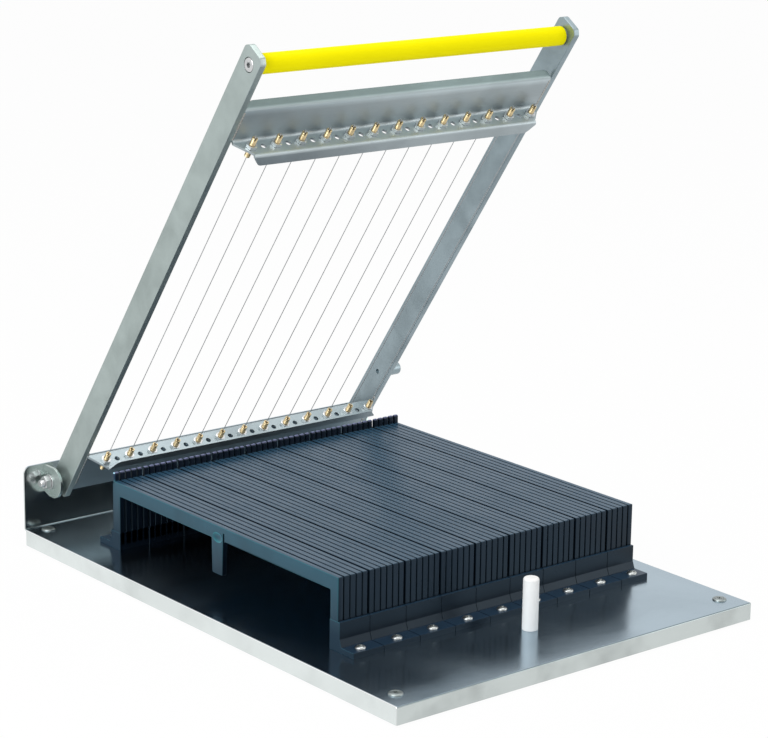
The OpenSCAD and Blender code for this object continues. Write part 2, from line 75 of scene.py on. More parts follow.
# Places on the tray: X across, -Y towards the user, Z up
TOP_Z = 20 * MM
HALF_TRAY, TRAY_FRONT, FACE_Y = 232.5 * MM, -321 * MM, 319 * MM
BED_SHIFT, BED_FRONT = 5.5 * MM, -178.5 * MM
BED_LONG, BED_HIGH = 390 * MM, 74.5 * MM
LEG_FRONT, LEG_REAR, FOOT_THICK = 12.5 * MM, 14 * MM, 5.5 * MM
SLAT_COUNTS = (5, 6, 6, 6, 6, 6, 6, 6, 5)

# The wire frame's own axes: X across, -Y along the arms away from the hinge, Z square to the arms
REST_ANGLE = math.radians(-55)
PIVOT = Vector((BED_SHIFT, 307.5 * MM, 72.5 * MM))
IN_FRAME = Matrix.Translation(PIVOT) @ Matrix.Rotation(REST_ANGLE, 4, "X")
ARM_IN, ARM_OUT = 196.5 * MM, 203.5 * MM
ARM_LOW, ARM_HIGH = -20.5 * MM, 9.5 * MM
ARM_MID = (ARM_LOW + ARM_HIGH) / 2
UPPER_S, LOWER_S = 523 * MM, 61.5 * MM
HANDLE_S, KNOB_S, ARM_LEN = 608 * MM, 93.5 * MM, 625 * MM
WIRES, WIRE_GAP, WIRE_DROP = 13, 30 * MM, 31 * MM

# Where the camera stands, and its heading, tilt and roll in degrees
CAMERA_AT = (-1.613946, -1.991033, 0.901367)
CAMERA_TURN = (-39.179, -14.624, 0.823)


# Sizes and colours that a user may change
class TraySizes(PropertyGroup):
    bend: FloatProperty(
        name="Bend radius", description="Outer radius of the folds of the tray", default=3.4 * MM, unit="LENGTH"
    )
    sheet: FloatProperty(
        name="Sheet", description="Thickness of the tray's sheet", default=2 * MM, unit="LENGTH"
    )
    corner: FloatProperty(
        name="Upstand corner", description="Radius of the top corners of the upstand", default=8 * MM, unit="LENGTH"
    )


class BedSizes(PropertyGroup):
    pitch: FloatProperty(
        name="Slat pitch", description="Distance from one slat to the next", default=7.5 * MM, unit="LENGTH"
    )
    slot: FloatProperty(
        name="Slot", description="Width of the slot between two slats", default=1.3 * MM, unit="LENGTH"
    )
    seam: FloatProperty(
        name="Seam", description="Extra gap on each side of a seam between modules", default=0.7 * MM, unit="LENGTH"
    )
    edge: FloatProperty(
        name="Slat edge", description="Radius along the edges of a slat", default=0.35 * MM, unit="LENGTH"
    )
    prong: FloatProperty(
        name="Prong", description="Height of a fence prong above the slats", default=9.2 * MM, unit="LENGTH"
    )


class FrameSizes(PropertyGroup):
    edge: FloatProperty(
        name="Bar edge", description="Radius along the edges of the flat bars", default=0.7 * MM, unit="LENGTH"
    )
    sheet: FloatProperty(
        name="Bar sheet", description="Thickness of the folded wire bars", default=2.5 * MM, unit="LENGTH"
    )
    sleeve: FloatProperty(
        name="Sleeve", description="Diameter of the handle sleeve", default=20 * MM, unit="LENGTH"
    )
    spare: FloatProperty(
        name="Spare holes", description="Diameter of the unused holes in the wire bars", default=6 * MM, unit="LENGTH"
    )


class Finishes(PropertyGroup):
    steel: FloatVectorProperty(
        name="Steel", description="Colour of the brushed bars",
        default=(0.44, 0.515, 0.495), subtype="COLOR", min=0, max=1,
    )
    # The right arm's steel, darker and bluer than the left arm's as painted shade; the knob takes it too
    steel_painted_shade: FloatVectorProperty(
        name="Right arm", description="Colour of the right arm",
        default=(0.33, 0.41, 0.44), subtype="COLOR", min=0, max=1,
    )
    sheet: FloatVectorProperty(
        name="Sheet", description="Colour of the polished tray",
        default=(0.9, 0.92, 0.92), subtype="COLOR", min=0, max=1,
    )
    bar: FloatVectorProperty(
        name="Wire bars", description="Colour of the folded wire bars",
        default=(0.4, 0.45, 0.47), subtype="COLOR", min=0, max=1,
    )
    bed: FloatVectorProperty(
        name="Bed", description="Colour of the bed plastic",
        default=(0.014, 0.047, 0.082), subtype="COLOR", min=0, max=1,
    )
    sleeve: FloatVectorProperty(
        name="Sleeve", description="Colour of the handle sleeve",
        default=(1.0, 0.9, 0.0), subtype="COLOR", min=0, max=1,
    )
    brass: FloatVectorProperty(
        name="Brass", description="Colour of the slotted screws",
        default=(0.82, 0.67, 0.4), subtype="COLOR", min=0, max=1,
    )
    peg: FloatVectorProperty(
        name="Peg", description="Colour of the stop peg",
        default=(0.97, 0.97, 0.96), subtype="COLOR", min=0, max=1,
    )


class Studio(PropertyGroup):
    key: FloatProperty(
        name="Key light", description="Power of the large lamp on the left", default=39, unit="POWER"
    )
    fill: FloatProperty(name="Fill light", description="Power of the lamp on the right", default=9, unit="POWER")
    top: FloatProperty(name="Top light", description="Power of the lamp overhead", default=20, unit="POWER")
    floor: FloatVectorProperty(
        name="Floor", description="Colour of the floor", default=(0.9, 0.9, 0.9), subtype="COLOR", min=0, max=1
    )
    lens: FloatProperty(
        name="Lens", description="Focal length of the camera", default=120.36, subtype="DISTANCE_CAMERA"
    )


# Shader node groups and materials
VECTOR, FLOAT, COLOUR = "NodeSocketVector", "NodeSocketFloat", "NodeSocketColor"
WHITE = (1, 1, 1, 1)
GROUPS = {}
MATS = {}


def group_tree(name, ins, outs):
    """An empty shader node group with named sockets, and its input and output nodes."""
    tree = bpy.data.node_groups.new(name, "ShaderNodeTree")
    for label, kind, value in ins:
        socket = tree.interface.new_socket(name=label, in_out="INPUT", socket_type=kind)
        if value is not None:
            socket.default_value = value
    for label, kind in outs:
        tree.interface.new_socket(name=label, in_out="OUTPUT", socket_type=kind)
    return tree, tree.nodes.new("NodeGroupInput"), tree.nodes.new("NodeGroupOutput")


def add(tree, kind, links=(), **values):
    """A new node: in_KEY sets the input of that number or name, any other key sets an attribute."""
    node = tree.nodes.new(kind)
    for key, value in values.items():
        if key.startswith("in_"):
            socket = key[3:]
            node.inputs[int(socket) if socket.isdigit() else socket].default_value = value
        else:
            setattr(node, key, value)
    for socket, source in links:
        tree.links.new(source, node.inputs[socket])
    return node


def maths(tree, operation, *terms):
    """The result of a Math node whose terms are sockets or numbers."""
    node = add(tree, "ShaderNodeMath", operation=operation)
    for k, term in enumerate(terms):
        if isinstance(term, (int, float)):
            node.inputs[k].default_value = term
        else:
            tree.links.new(term, node.inputs[k])
    return node.outputs[0]


def grain_group():
    """Fine drawn-out grain, as brushing or rolling leaves it."""
    tree, i, o = group_tree(
        "brushed_grain",
        [("Vector", VECTOR, None), ("Stretch", VECTOR, (1, 1, 1)), ("Scale", FLOAT, 900.0)],
        [("Value", FLOAT), ("Height", FLOAT)],
    )
    drawn = add(
        tree, "ShaderNodeVectorMath", [(0, i.outputs["Vector"]), (1, i.outputs["Stretch"])], operation="MULTIPLY"
    )
    noise = add(
        tree, "ShaderNodeTexNoise", [("Vector", drawn.outputs[0]), ("Scale", i.outputs["Scale"])],
        in_Detail=5, in_Roughness=0.65,
    )
    tree.links.new(noise.outputs[0], o.inputs["Value"])
    height = add(tree, "ShaderNodeMapRange", [(0, noise.outputs[0])], in_1=0.3, in_2=0.7)
    tree.links.new(height.outputs[0], o.inputs["Height"])
    return tree


def marks_group():
    """Cloudy handling marks."""
    tree, i, o = group_tree(
        "handling_marks", [("Vector", VECTOR, None), ("Scale", FLOAT, 14.0)], [("Mask", FLOAT)]
    )
    noise = add(
        tree, "ShaderNodeTexNoise", [("Vector", i.outputs["Vector"]), ("Scale", i.outputs["Scale"])],
        in_Detail=6, in_Distortion=0.6,
    )
    mask = add(tree, "ShaderNodeMapRange", [(0, noise.outputs[0])], in_1=0.38, in_2=0.66)
    tree.links.new(mask.outputs[0], o.inputs["Mask"])
    return tree


def tone_group():
    """Painted light or shade from one height to another, with a lighter or darker painted line where it starts."""
    tree, i, o = group_tree(
        "height_tone",
        [
            ("Vector", VECTOR, None), ("Colour", COLOUR, WHITE), ("Tone", COLOUR, WHITE),
            ("From", FLOAT, 0.0), ("To", FLOAT, 1.0), ("Line", FLOAT, 1.0), ("Width", FLOAT, 0.003),
        ],
        [("Colour", COLOUR)],
    )
    z = add(tree, "ShaderNodeSeparateXYZ", [(0, i.outputs["Vector"])]).outputs[2]
    share = add(tree, "ShaderNodeMapRange", [(0, z), (1, i.outputs["From"]), (2, i.outputs["To"])])
    toned = add(
        tree, "ShaderNodeMix", [(0, share.outputs[0]), (6, i.outputs["Colour"]), (7, i.outputs["Tone"])],
        data_type="RGBA", blend_type="MULTIPLY",
    )
    far = maths(tree, "ABSOLUTE", maths(tree, "SUBTRACT", z, i.outputs["From"]))
    line = add(
        tree, "ShaderNodeMapRange", [(0, far), (2, i.outputs["Width"]), (3, i.outputs["Line"])], in_1=0, in_4=1
    )
    lined = add(tree, "ShaderNodeVectorMath", [(0, toned.outputs[2]), (3, line.outputs[0])], operation="SCALE")
    tree.links.new(lined.outputs[0], o.inputs[0])
    return tree


def facing_group():
    """Painted light or shade on the faces that look along an axis, broken up by soft patches.

    It stays off whatever is nearer to the bed's middle, to either side, than Ends.
    """
    tree, i, o = group_tree(
        "facing_tone",
        [
            ("Normal", VECTOR, None), ("Vector", VECTOR, None), ("Colour", COLOUR, WHITE),
            ("Axis", VECTOR, (0, 0, 1)), ("Tone", COLOUR, WHITE), ("From", FLOAT, 0.3),
            ("Patches", FLOAT, 0.0), ("Ends", FLOAT, 0.0),
        ],
        [("Colour", COLOUR)],
    )
    along = add(
        tree, "ShaderNodeVectorMath", [(0, i.outputs["Normal"]), (1, i.outputs["Axis"])], operation="DOT_PRODUCT"
    )
    facing = add(tree, "ShaderNodeMapRange", [(0, along.outputs["Value"]), (1, i.outputs["From"])], in_2=1)
    noise = add(tree, "ShaderNodeTexNoise", [("Vector", i.outputs["Vector"])], in_Scale=13, in_Detail=3)
    soft = add(tree, "ShaderNodeMapRange", [(0, noise.outputs[0])], in_1=0.5, in_2=0.68)
    left_over = maths(tree, "SUBTRACT", 1.0, maths(tree, "MULTIPLY", soft.outputs[0], i.outputs["Patches"]))
    tone = add(tree, "ShaderNodeVectorMath", [(0, i.outputs["Tone"]), (3, left_over)], operation="SCALE")
    x = add(tree, "ShaderNodeSeparateXYZ", [(0, i.outputs["Vector"])]).outputs[0]
    far = maths(tree, "ABSOLUTE", maths(tree, "SUBTRACT", x, BED_SHIFT))
    share = maths(tree, "MULTIPLY", facing.outputs[0], maths(tree, "GREATER_THAN", far, i.outputs["Ends"]))
    toned = add(
        tree, "ShaderNodeMix", [(0, share), (6, i.outputs["Colour"]), (7, tone.outputs[0])],
        data_type="RGBA", blend_type="MULTIPLY",
    )
    tree.links.new(toned.outputs[2], o.inputs[0])
    return tree


def finish(
    name, light, dark, metal, rough, stretch=(1, 1, 1), scale=900.0, bump=0.05, clouds=14.0, grain_mix=0.6,
    depth=0.0002, painted_heights=(), facing=(), **sockets,
):
    """A material whose colour, gloss and relief vary with the grain and the handling marks.

    Each of painted_heights is painted light or shade as (tone, from, to, line, width of the line), in mm.
    Each of facing is painted light or shade as (axis, tone, from, patches), with ends in mm where it has them.
    """
    if not GROUPS:
        GROUPS.update(grain=grain_group(), marks=marks_group(), tone=tone_group(), facing=facing_group())
    material = bpy.data.materials.new(name)
    material.use_nodes = True
    tree = material.node_tree
    bsdf = tree.nodes["Principled BSDF"]
    places = add(tree, "ShaderNodeTexCoord")
    where = places.outputs["Object"]
    grain = add(
        tree, "ShaderNodeGroup", [("Vector", where)], node_tree=GROUPS["grain"], in_Stretch=stretch, in_Scale=scale
    )
    marks = add(tree, "ShaderNodeGroup", [("Vector", where)], node_tree=GROUPS["marks"], in_Scale=clouds)
    both = add(
        tree, "ShaderNodeMix", [(2, marks.outputs["Mask"]), (3, grain.outputs["Value"])],
        data_type="FLOAT", in_0=grain_mix,
    ).outputs[0]
    colour = add(
        tree, "ShaderNodeMix", [(0, both)], data_type="RGBA", in_6=(*light, 1), in_7=(*dark, 1)
    ).outputs[2]
    # Painted light and shade by height, then by the way the faces look
    for tone, start, end, line, width in painted_heights:
        colour = add(
            tree, "ShaderNodeGroup", [("Vector", where), ("Colour", colour)], node_tree=GROUPS["tone"],
            in_Tone=(*tone, 1), in_From=start * MM, in_To=end * MM, in_Line=line, in_Width=width * MM,
        ).outputs[0]
    for axis, tone, start, patches, *ends in facing:
        colour = add(
            tree, "ShaderNodeGroup", [("Normal", places.outputs["Normal"]), ("Vector", where), ("Colour", colour)],
            node_tree=GROUPS["facing"], in_Axis=axis, in_Tone=(*tone, 1), in_From=start, in_Patches=patches,
            in_Ends=ends[0] * MM if ends else -1.0,
        ).outputs[0]
    tree.links.new(colour, bsdf.inputs["Base Color"])
    gloss = add(tree, "ShaderNodeMapRange", [(0, both)], in_1=0.2, in_2=0.8, in_3=rough[0], in_4=rough[1])
    tree.links.new(gloss.outputs[0], bsdf.inputs["Roughness"])
    relief = add(tree, "ShaderNodeBump", [("Height", grain.outputs["Height"])], in_Strength=bump, in_Distance=depth)
    tree.links.new(relief.outputs[0], bsdf.inputs["Normal"])
    bsdf.inputs["Metallic"].default_value = metal
    for socket, value in sockets.items():
        bsdf.inputs[socket.replace("_", " ")].default_value = value
    return material


def shade(colour, k):
    """A colour made lighter or darker by a factor."""
    return tuple(min(1, c * k) for c in colour)


def finishes():
    """Each finish by its key, from the colours in the panel."""
    c = bpy.context.scene.cutter_finishes
    up, front, rear, left, right = (0, 0, 1), (0, -1, 0), (0, 1, 0), (-1, 0, 0), (1, 0, 0)
    # Painted light on the tray by the way its faces look: a painted bluish reflection on the top, painted shade with
    # soft patches on the front, deeper painted shade on the front fold, and lighter painted shade on the rear, right
    # and left faces
    sheet_painted_light = (
        (up, (0.42, 0.52, 0.6), 0.55, 0),
        (front, (0.66, 0.7, 0.69), 0.1, 0.3),
        ((0, -0.707, 0.707), (0.4, 0.44, 0.45), 0.74, 0),
        (rear, (0.74, 0.78, 0.8), 0.2, 0.25),
        (right, (0.8, 0.83, 0.84), 0.3, 0.25),
        (left, (0.88, 0.92, 0.91), 0.9, 0.12),
    )
    # The brushed steel's grain, with painted shade on the faces that look down, forward and left
    brushed_and_painted_shade = {
        "stretch": (1, 0.06, 0.06), "scale": 1500, "bump": 0.09, "clouds": 22, "grain_mix": 0.45,
        "facing": (((-0.6, -0.5, -0.6), (0.92, 0.92, 0.94), 0, 0.1),),
    }
    # Painted shade darkens the upper bar above its fold, with a painted highlight line at the fold, and painted shade
    # makes the lower bar a little darker than the upper one
    bar_painted_shade_by_height = (((0.44, 0.5, 0.48), 520, 525, 1.4, 5), ((0.8, 0.82, 0.84), 150, 140, 1, 1))
    # Painted light brightens the bars' faces that look up and forward, and a little those that look forward and down
    bar_painted_light_by_facing = (
        ((0, -0.574, 0.819), (1.22, 1.24, 1.22), 0.5, 0.12),
        ((0, -0.819, -0.574), (1.06, 1.07, 1.07), 0.5, 0.12),
    )
    # Painted shade darkens the fence, with a darker painted line at its foot; a painted highlight brightens the tips
    # of its prongs; painted shade darkens the legs towards the tray
    bed_painted_light_by_height = (
        ((0.3, 0.24, 0.42), 95.2, 96.2, 0.8, 0.8),
        ((50, 21, 12), 102.2, 103.2, 1, 1),
        ((0.34, 0.26, 0.32), 90, 36, 1, 1),
    )
    # Painted shade darkens the front faces and the slot walls, and painted light brightens the bed's two end faces
    bed_painted_light_by_facing = [(front, (0.27, 0.2, 0.23), 0, 0.2)]
    bed_painted_light_by_facing += [(side, (0.08, 0.06, 0.08), 0.3, 0) for side in (left, right)]
    bed_painted_light_by_facing += [(side, (16, 27, 17), 0.3, 0.25, 192) for side in (left, right)]
    return {
        "sheet": finish(
            "polished_sheet", c.sheet, shade(c.sheet, 0.86), 1, (0.16, 0.26), stretch=(0.25, 1.6, 1),
            scale=260, bump=0.03, clouds=9, grain_mix=0.45, facing=sheet_painted_light,
        ),
        "arm": finish("brushed_bar", c.steel, shade(c.steel, 0.74), 0.82, (0.32, 0.5), **brushed_and_painted_shade),
        # The right arm and the knob take the arm's finish darkened as painted shade
        "arm_painted_shade": finish("brushed_bar_far", c.steel_painted_shade, shade(c.steel_painted_shade, 0.74), 0.82, (0.32, 0.5), **brushed_and_painted_shade),
        "bar": finish(
            "rolled_bar_sheet", c.bar, shade(c.bar, 0.88), 1, (0.42, 0.54), stretch=(0.1, 1, 1),
            bump=0.06, clouds=12, grain_mix=0.7, painted_heights=bar_painted_shade_by_height, facing=bar_painted_light_by_facing,
        ),
        "lug": finish(
            "lug_plate", shade(c.steel, 1.1), shade(c.steel, 0.92), 1, (0.24, 0.36), stretch=(1, 0.2, 1),
            bump=0.04, clouds=30,
        ),
        "bolt": finish(
            "plated_steel", (0.68, 0.69, 0.69), (0.5, 0.51, 0.52), 1, (0.22, 0.36), scale=1400, clouds=90
        ),
        "wire": finish(
            "drawn_wire", (0.5, 0.5, 0.5), (0.36, 0.37, 0.38), 1, (0.3, 0.4), stretch=(1, 0.05, 0.05),
            scale=2500, bump=0.04, clouds=60,
        ),
        "brass": finish(
            "turned_brass", c.brass, shade(c.brass, 0.5), 1, (0.3, 0.45), scale=1800, clouds=160, grain_mix=0.5
        ),
        "bed": finish(
            "moulded_bed", c.bed, shade(c.bed, 0.78), 0, (0.26, 0.36), scale=2600, bump=0.08, clouds=16,
            depth=0.0001, painted_heights=bed_painted_light_by_height, facing=bed_painted_light_by_facing, IOR=1.36, Specular_IOR_Level=0.5,
            Specular_Tint=(0.6, 0.82, 1, 1), Sheen_Weight=0.22, Sheen_Roughness=0.4, Sheen_Tint=(0.25, 0.6, 1, 1),
        ),
        "sleeve": finish(
            "yellow_sleeve", c.sleeve, shade(c.sleeve, 0.96), 0, (0.5, 0.6), scale=1200, bump=0.03, clouds=20,
            Specular_IOR_Level=0.04,
        ),
        "peg": finish("white_peg", c.peg, shade(c.peg, 0.95), 0, (0.4, 0.5), scale=1600, bump=0.03, clouds=40),
        "rubber": finish(
            "foot_rubber", (0.025, 0.025, 0.025), (0.014, 0.014, 0.014), 0, (0.6, 0.75), scale=1500,
            bump=0.12, clouds=60,
        ),
        "collar": finish(
            "dull_collar", (0.34, 0.38, 0.38), (0.2, 0.23, 0.23), 1, (0.3, 0.44), scale=1400, clouds=120
        ),
        "cross": finish(
            "cross_screw_steel", (0.54, 0.56, 0.55), (0.36, 0.38, 0.38), 1, (0.24, 0.38), scale=1400, clouds=120
        ),
        "weld": finish(
            "weld_bead", (0.5, 0.5, 0.48), (0.3, 0.29, 0.27), 1, (0.3, 0.5), scale=700, bump=0.5, clouds=200
        ),
    }


def mat(key):
    """The finish of that key; all of them are made at the first call."""
    if not MATS:
        MATS.update(finishes())
    return MATS[key]


# Mesh helpers
def link(name, mesh):
    """A new object in the scene for a mesh."""
    ob = bpy.data.objects.new(name, mesh)
    bpy.context.scene.collection.objects.link(ob)
    return ob


def mesh_object(name, verts, faces):
    mesh = bpy.data.meshes.new(name)
    mesh.from_pydata([tuple(v) for v in verts], [], faces)
    return link(name, mesh)


def applied(ob):
    """A plain object instead of one with modifiers, which are made part of its mesh."""
    graph = bpy.context.evaluated_depsgraph_get()
    graph.update()
    mesh = bpy.data.meshes.new_from_object(ob.evaluated_get(graph))
    name = ob.name
    bpy.data.objects.remove(ob)
    return link(name, mesh)


def tidy(ob):
    """Merges doubles and turns all faces outwards."""
    bm = bmesh.new()
    bm.from_mesh(ob.data)
    bmesh.ops.remove_doubles(bm, verts=bm.verts, dist=1e-6)
    bmesh.ops.recalc_face_normals(bm, faces=bm.faces)
    bm.to_mesh(ob.data)
    bm.free()
    return ob


def join(name, parts):
    """One mesh from several, doubles kept apart."""
    bm = bmesh.new()
    for p in parts:
        bm.from_mesh(p.data)
        bpy.data.objects.remove(p)
    mesh = bpy.data.meshes.new(name)
    bm.to_mesh(mesh)
    bm.free()
    return link(name, mesh)


def cut(ob, cutters):
    """Takes the cutters away from a piece."""
    for c in cutters:
        m = ob.modifiers.new("cut", "BOOLEAN")
        m.operation, m.solver, m.object = "DIFFERENCE", "EXACT", c
    ob = applied(ob)
    for c in cutters:
        bpy.data.objects.remove(c)
    return ob


def publish(ob, material, body, nodes=(), sharp=32):
    """Shading, finish and frame for a piece that is in its place."""
    ob.data.materials.clear()
    ob.data.materials.append(mat(material))
    for p in ob.data.polygons:
        p.use_smooth = True
        p.material_index = 0
    ob.data.set_sharp_from_angle(angle=math.radians(sharp))
    weigh = ob.modifiers.new("weigh", "WEIGHTED_NORMAL")
    weigh.keep_sharp = True
    ob = applied(ob)
    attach(ob, body)
    if nodes:
        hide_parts(*nodes)
    return ob


def across_x(y=0.0, z=0.0):
    """Places a piece's own Z along +X and its own X along Y."""
    return Matrix.Translation((0, y, z)) @ Matrix(((0, 0, 1, 0), (1, 0, 0, 0), (0, 1, 0, 0), (0, 0, 0, 1)))


def mm(*pairs):
    """Pairs in millimetres as pairs in metres."""
    return [(a * MM, b * MM) for a, b in pairs]


def arc(cx, cy, r, a0, a1, n):
    """n + 1 points on an arc from a0 to a1 degrees."""
    angles = [math.radians(a0 + (a1 - a0) * k / n) for k in range(n + 1)]
    return [(cx + r * math.cos(a), cy + r * math.sin(a)) for a in angles]


def circle(cx, cy, r, n):
    angles = [2 * math.pi * k / n for k in range(n)]
    return [(cx + r * math.cos(a), cy + r * math.sin(a)) for a in angles]


def rounded(points, radii, n):
    """A closed polygon with each corner rounded to its own radius, in n steps."""
    out = []
    count = len(points)
    for k, (p, r) in enumerate(zip(points, radii)):
        if r <= 0:
            out.append(tuple(p))
            continue
        p = Vector(p)
        a = (Vector(points[k - 1]) - p).normalized()
        b = (Vector(points[(k + 1) % count]) - p).normalized()
        half = a.angle(b) / 2
        reach = r / math.tan(half)
        centre = p + (a + b).normalized() * (r / math.sin(half))
        s, e = p + a * reach - centre, p + b * reach - centre
        turn = s.angle_signed(e)
        for j in range(n + 1):
            co, si = math.cos(-turn * j / n), math.sin(-turn * j / n)
            out.append((centre.x + s.x * co - s.y * si, centre.y + s.x * si + s.y * co))
    return out


def signed_area(loop):
    """Above zero for a loop drawn anticlockwise."""
    return sum(loop[k - 1][0] * p[1] - p[0] * loop[k - 1][1] for k, p in enumerate(loop)) / 2


def mitre(a, b):
    """The step to the left where edge a meets edge b, kept short at sharp corners."""
    m = Vector((-a.y, a.x)) + Vector((-b.y, b.x))
    return m / max(m.length_squared / 2, 0.3)


def inset(loop, d):
    """Moves a loop to its left, which is inwards for a loop drawn anticlockwise."""
    out = []
    n = len(loop)
    for k in range(n):
        p, q, r = Vector(loop[k - 1]), Vector(loop[k]), Vector(loop[(k + 1) % n])
        m = mitre((q - p).normalized(), (r - q).normalized())
        out.append((q.x + m.x * d, q.y + m.y * d))
    return out


def slab(name, outline, holes, z0, z1, edge, place=Matrix.Identity(4), steps=2):
    """A flat plate with holes and rounded edges, from z0 to z1."""
    loops = [outline if signed_area(outline) > 0 else outline[::-1]]
    loops += [h if signed_area(h) < 0 else h[::-1] for h in holes]
    levels = []
    for j in range(steps + 1):
        t = math.pi / 2 * j / steps
        levels.append((edge * (1 - math.sin(t)), z0 + edge * (1 - math.cos(t))))
    levels += [(d, z1 - (z - z0)) for d, z in reversed(levels)]
    verts, faces, starts = [], [], []
    for d, z in levels:
        ring = []
        for loop in loops:
            ring.append(len(verts))
            verts += [(x, y, z) for x, y in inset(loop, d)]
        starts.append(ring)
    for a, b in zip(starts, starts[1:]):
        for la, lb, loop in zip(a, b, loops):
            n = len(loop)
            faces += [(la + k, la + (k + 1) % n, lb + (k + 1) % n, lb + k) for k in range(n)]
    for level, bottom in ((0, True), (-1, False)):
        flat = [[Vector(verts[s + k]) for k in range(len(loop))] for s, loop in zip(starts[level], loops)]
        index = [s + k for s, loop in zip(starts[level], loops) for k in range(len(loop))]
        for tri in tessellate_polygon(flat):
            tri = [index[k] for k in tri]
            a, b, c = (Vector(verts[k]) for k in tri)
            up = (b - a).cross(c - a).z > 0
            faces.append(tuple(tri if up != bottom else tri[::-1]))
    ob = mesh_object(name, verts, faces)
    ob.data.transform(place)
    return ob


def lathe(name, profile, place=Matrix.Identity(4), n=40):
    """A turned piece about its own Z axis, from (radius, height) pairs drawn from the bottom to the top."""
    verts, faces, rings = [], [], []
    for r, z in profile:
        if r <= 1e-9:
            rings.append([len(verts)])
            verts.append((0, 0, z))
        else:
            rings.append([len(verts) + k for k in range(n)])
            verts += [(x, y, z) for x, y in circle(0, 0, r, n)]
    for a, b in zip(rings, rings[1:]):
        for k in range(n):
            k2 = (k + 1) % n
            quad = list(dict.fromkeys([a[k % len(a)], a[k2 % len(a)], b[k2 % len(b)], b[k % len(b)]]))
            if len(quad) > 2:
                faces.append(tuple(quad))
    ob = mesh_object(name, verts, faces)
    ob.data.transform(place)
    return tidy(ob)


def tube(name, r_out, r_in, z0, z1, edge, place, n=40):
    """A ring or sleeve with rounded outer edges."""
    e = edge
    prof = [(r_in, z0 + e), (r_in + e, z0)]
    prof += arc(r_out - e, z0 + e, e, -90, 0, 3) + arc(r_out - e, z1 - e, e, 0, 90, 3)
    prof += [(r_in + e, z1), (r_in, z1 - e), (r_in, z0 + e)]
    return lathe(name, prof, place, n)


def thread(z, end, radius, root, flank, pitch):
    """The profile of a thread from z until it reaches end."""
    turns = []
    while z < end:
        turns += [(radius, z), (root, z + flank), (radius, z + 2 * flank)]
        z += pitch
    return turns


def hex_ring(name, across, height, hole, place):
    """A hexagon nut whose corners are turned off."""
    n, sixth = 36, math.pi / 3
    slope = math.tan(math.radians(28))
    flat, bore, lead = across / 2 * 0.97, hole / 2, hole / 2 * 1.12
    angles = [2 * math.pi * k / n for k in range(n)]
    corner = [across / 2 / math.cos((a + sixth / 2) % sixth - sixth / 2) for a in angles]
    drop = [(r - flat) * slope for r in corner]
    rings = [
        [(bore, height * 0.08)] * n,
        [(lead, 0)] * n,
        [(flat, 0)] * n,
        list(zip(corner, drop)),
        [(r, height - d) for r, d in zip(corner, drop)],
        [(flat, height)] * n,
        [(lead, height)] * n,
        [(bore, height * 0.92)] * n,
    ]
    verts = [(r * math.cos(a), r * math.sin(a), z) for ring in rings for a, (r, z) in zip(angles, ring)]
    faces = []
    for j in range(len(rings)):
        a, b = j * n, (j + 1) % len(rings) * n
        faces += [(a + k, a + (k + 1) % n, b + (k + 1) % n, b + k) for k in range(n)]
    ob = mesh_object(name, verts, faces)
    ob.data.transform(place)
    return tidy(ob)


def box_cutter(x0, x1, y0, y1, z0, z1, turn):
    """A box to cut with, turned about Z."""
    verts = [(x, y, z) for x in (x0, x1) for y in (y0, y1) for z in (z0, z1)]
    faces = [(0, 1, 3, 2), (4, 6, 7, 5), (0, 4, 5, 1), (2, 3, 7, 6), (0, 2, 6, 4), (1, 5, 7, 3)]
    ob = mesh_object("cutter", verts, faces)
    ob.data.transform(Matrix.Rotation(turn, 4, "Z"))
    return ob


def cross_cutters(reach, half, z0, z1):
    """The two boxes that cut a cross recess."""
    return [box_cutter(-reach, reach, -half, half, z0, z1, turn) for turn in (0, math.pi / 2)]


# Geometry Nodes: a row of equal pieces
def row_tree():
    """Copies of a piece along a line, with a base piece that isn't repeated."""
    tree = bpy.data.node_groups.new("row_of_pieces", "GeometryNodeTree")
    tree.interface.new_socket(name="Geometry", in_out="OUTPUT", socket_type="NodeSocketGeometry")
    for label, kind in (
        ("Piece", "NodeSocketObject"), ("Base", "NodeSocketObject"), ("Count", "NodeSocketInt"),
        ("Start", VECTOR), ("Step", VECTOR), ("Finish", "NodeSocketMaterial"),
    ):
        tree.interface.new_socket(name=label, in_out="INPUT", socket_type=kind)
    i, o = tree.nodes.new("NodeGroupInput"), tree.nodes.new("NodeGroupOutput")
    line = add(
        tree, "GeometryNodeMeshLine",
        [("Count", i.outputs["Count"]), ("Start Location", i.outputs["Start"]), ("Offset", i.outputs["Step"])],
        mode="OFFSET",
    )
    piece = add(tree, "GeometryNodeObjectInfo", [("Object", i.outputs["Piece"])])
    base = add(tree, "GeometryNodeObjectInfo", [("Object", i.outputs["Base"])])
    spread = add(
        tree, "GeometryNodeInstanceOnPoints", [("Points", line.outputs[0]), ("Instance", piece.outputs["Geometry"])]
    )
    both = add(tree, "GeometryNodeJoinGeometry", [(0, spread.outputs[0]), (0, base.outputs["Geometry"])])
    real = add(tree, "GeometryNodeRealizeInstances", [(0, both.outputs[0])])
    paint = add(tree, "GeometryNodeSetMaterial", [(0, real.outputs[0]), ("Material", i.outputs["Finish"])])
    tree.links.new(paint.outputs[0], o.inputs[0])
    return tree


def row(name, piece, count, start, step, material, base=None):
    """A row of copies of a piece as one plain mesh, made by the tree row_of_pieces."""
    tree = bpy.data.node_groups.get("row_of_pieces") or row_tree()
    host = link(name, bpy.data.meshes.new(name))
    m = host.modifiers.new("row", "NODES")
    m.node_group = tree
    values = {
        "Piece": piece, "Base": base, "Count": count, "Start": tuple(start), "Step": tuple(step),
        "Finish": mat(material),
    }
    for socket in tree.interface.items_tree:
        if socket.in_out == "INPUT" and values[socket.name] is not None:
            m[socket.identifier] = values[socket.name]
    host = applied(host)
    for p in (piece, base):
        if p is not None:
            bpy.data.objects.remove(p)
    return host


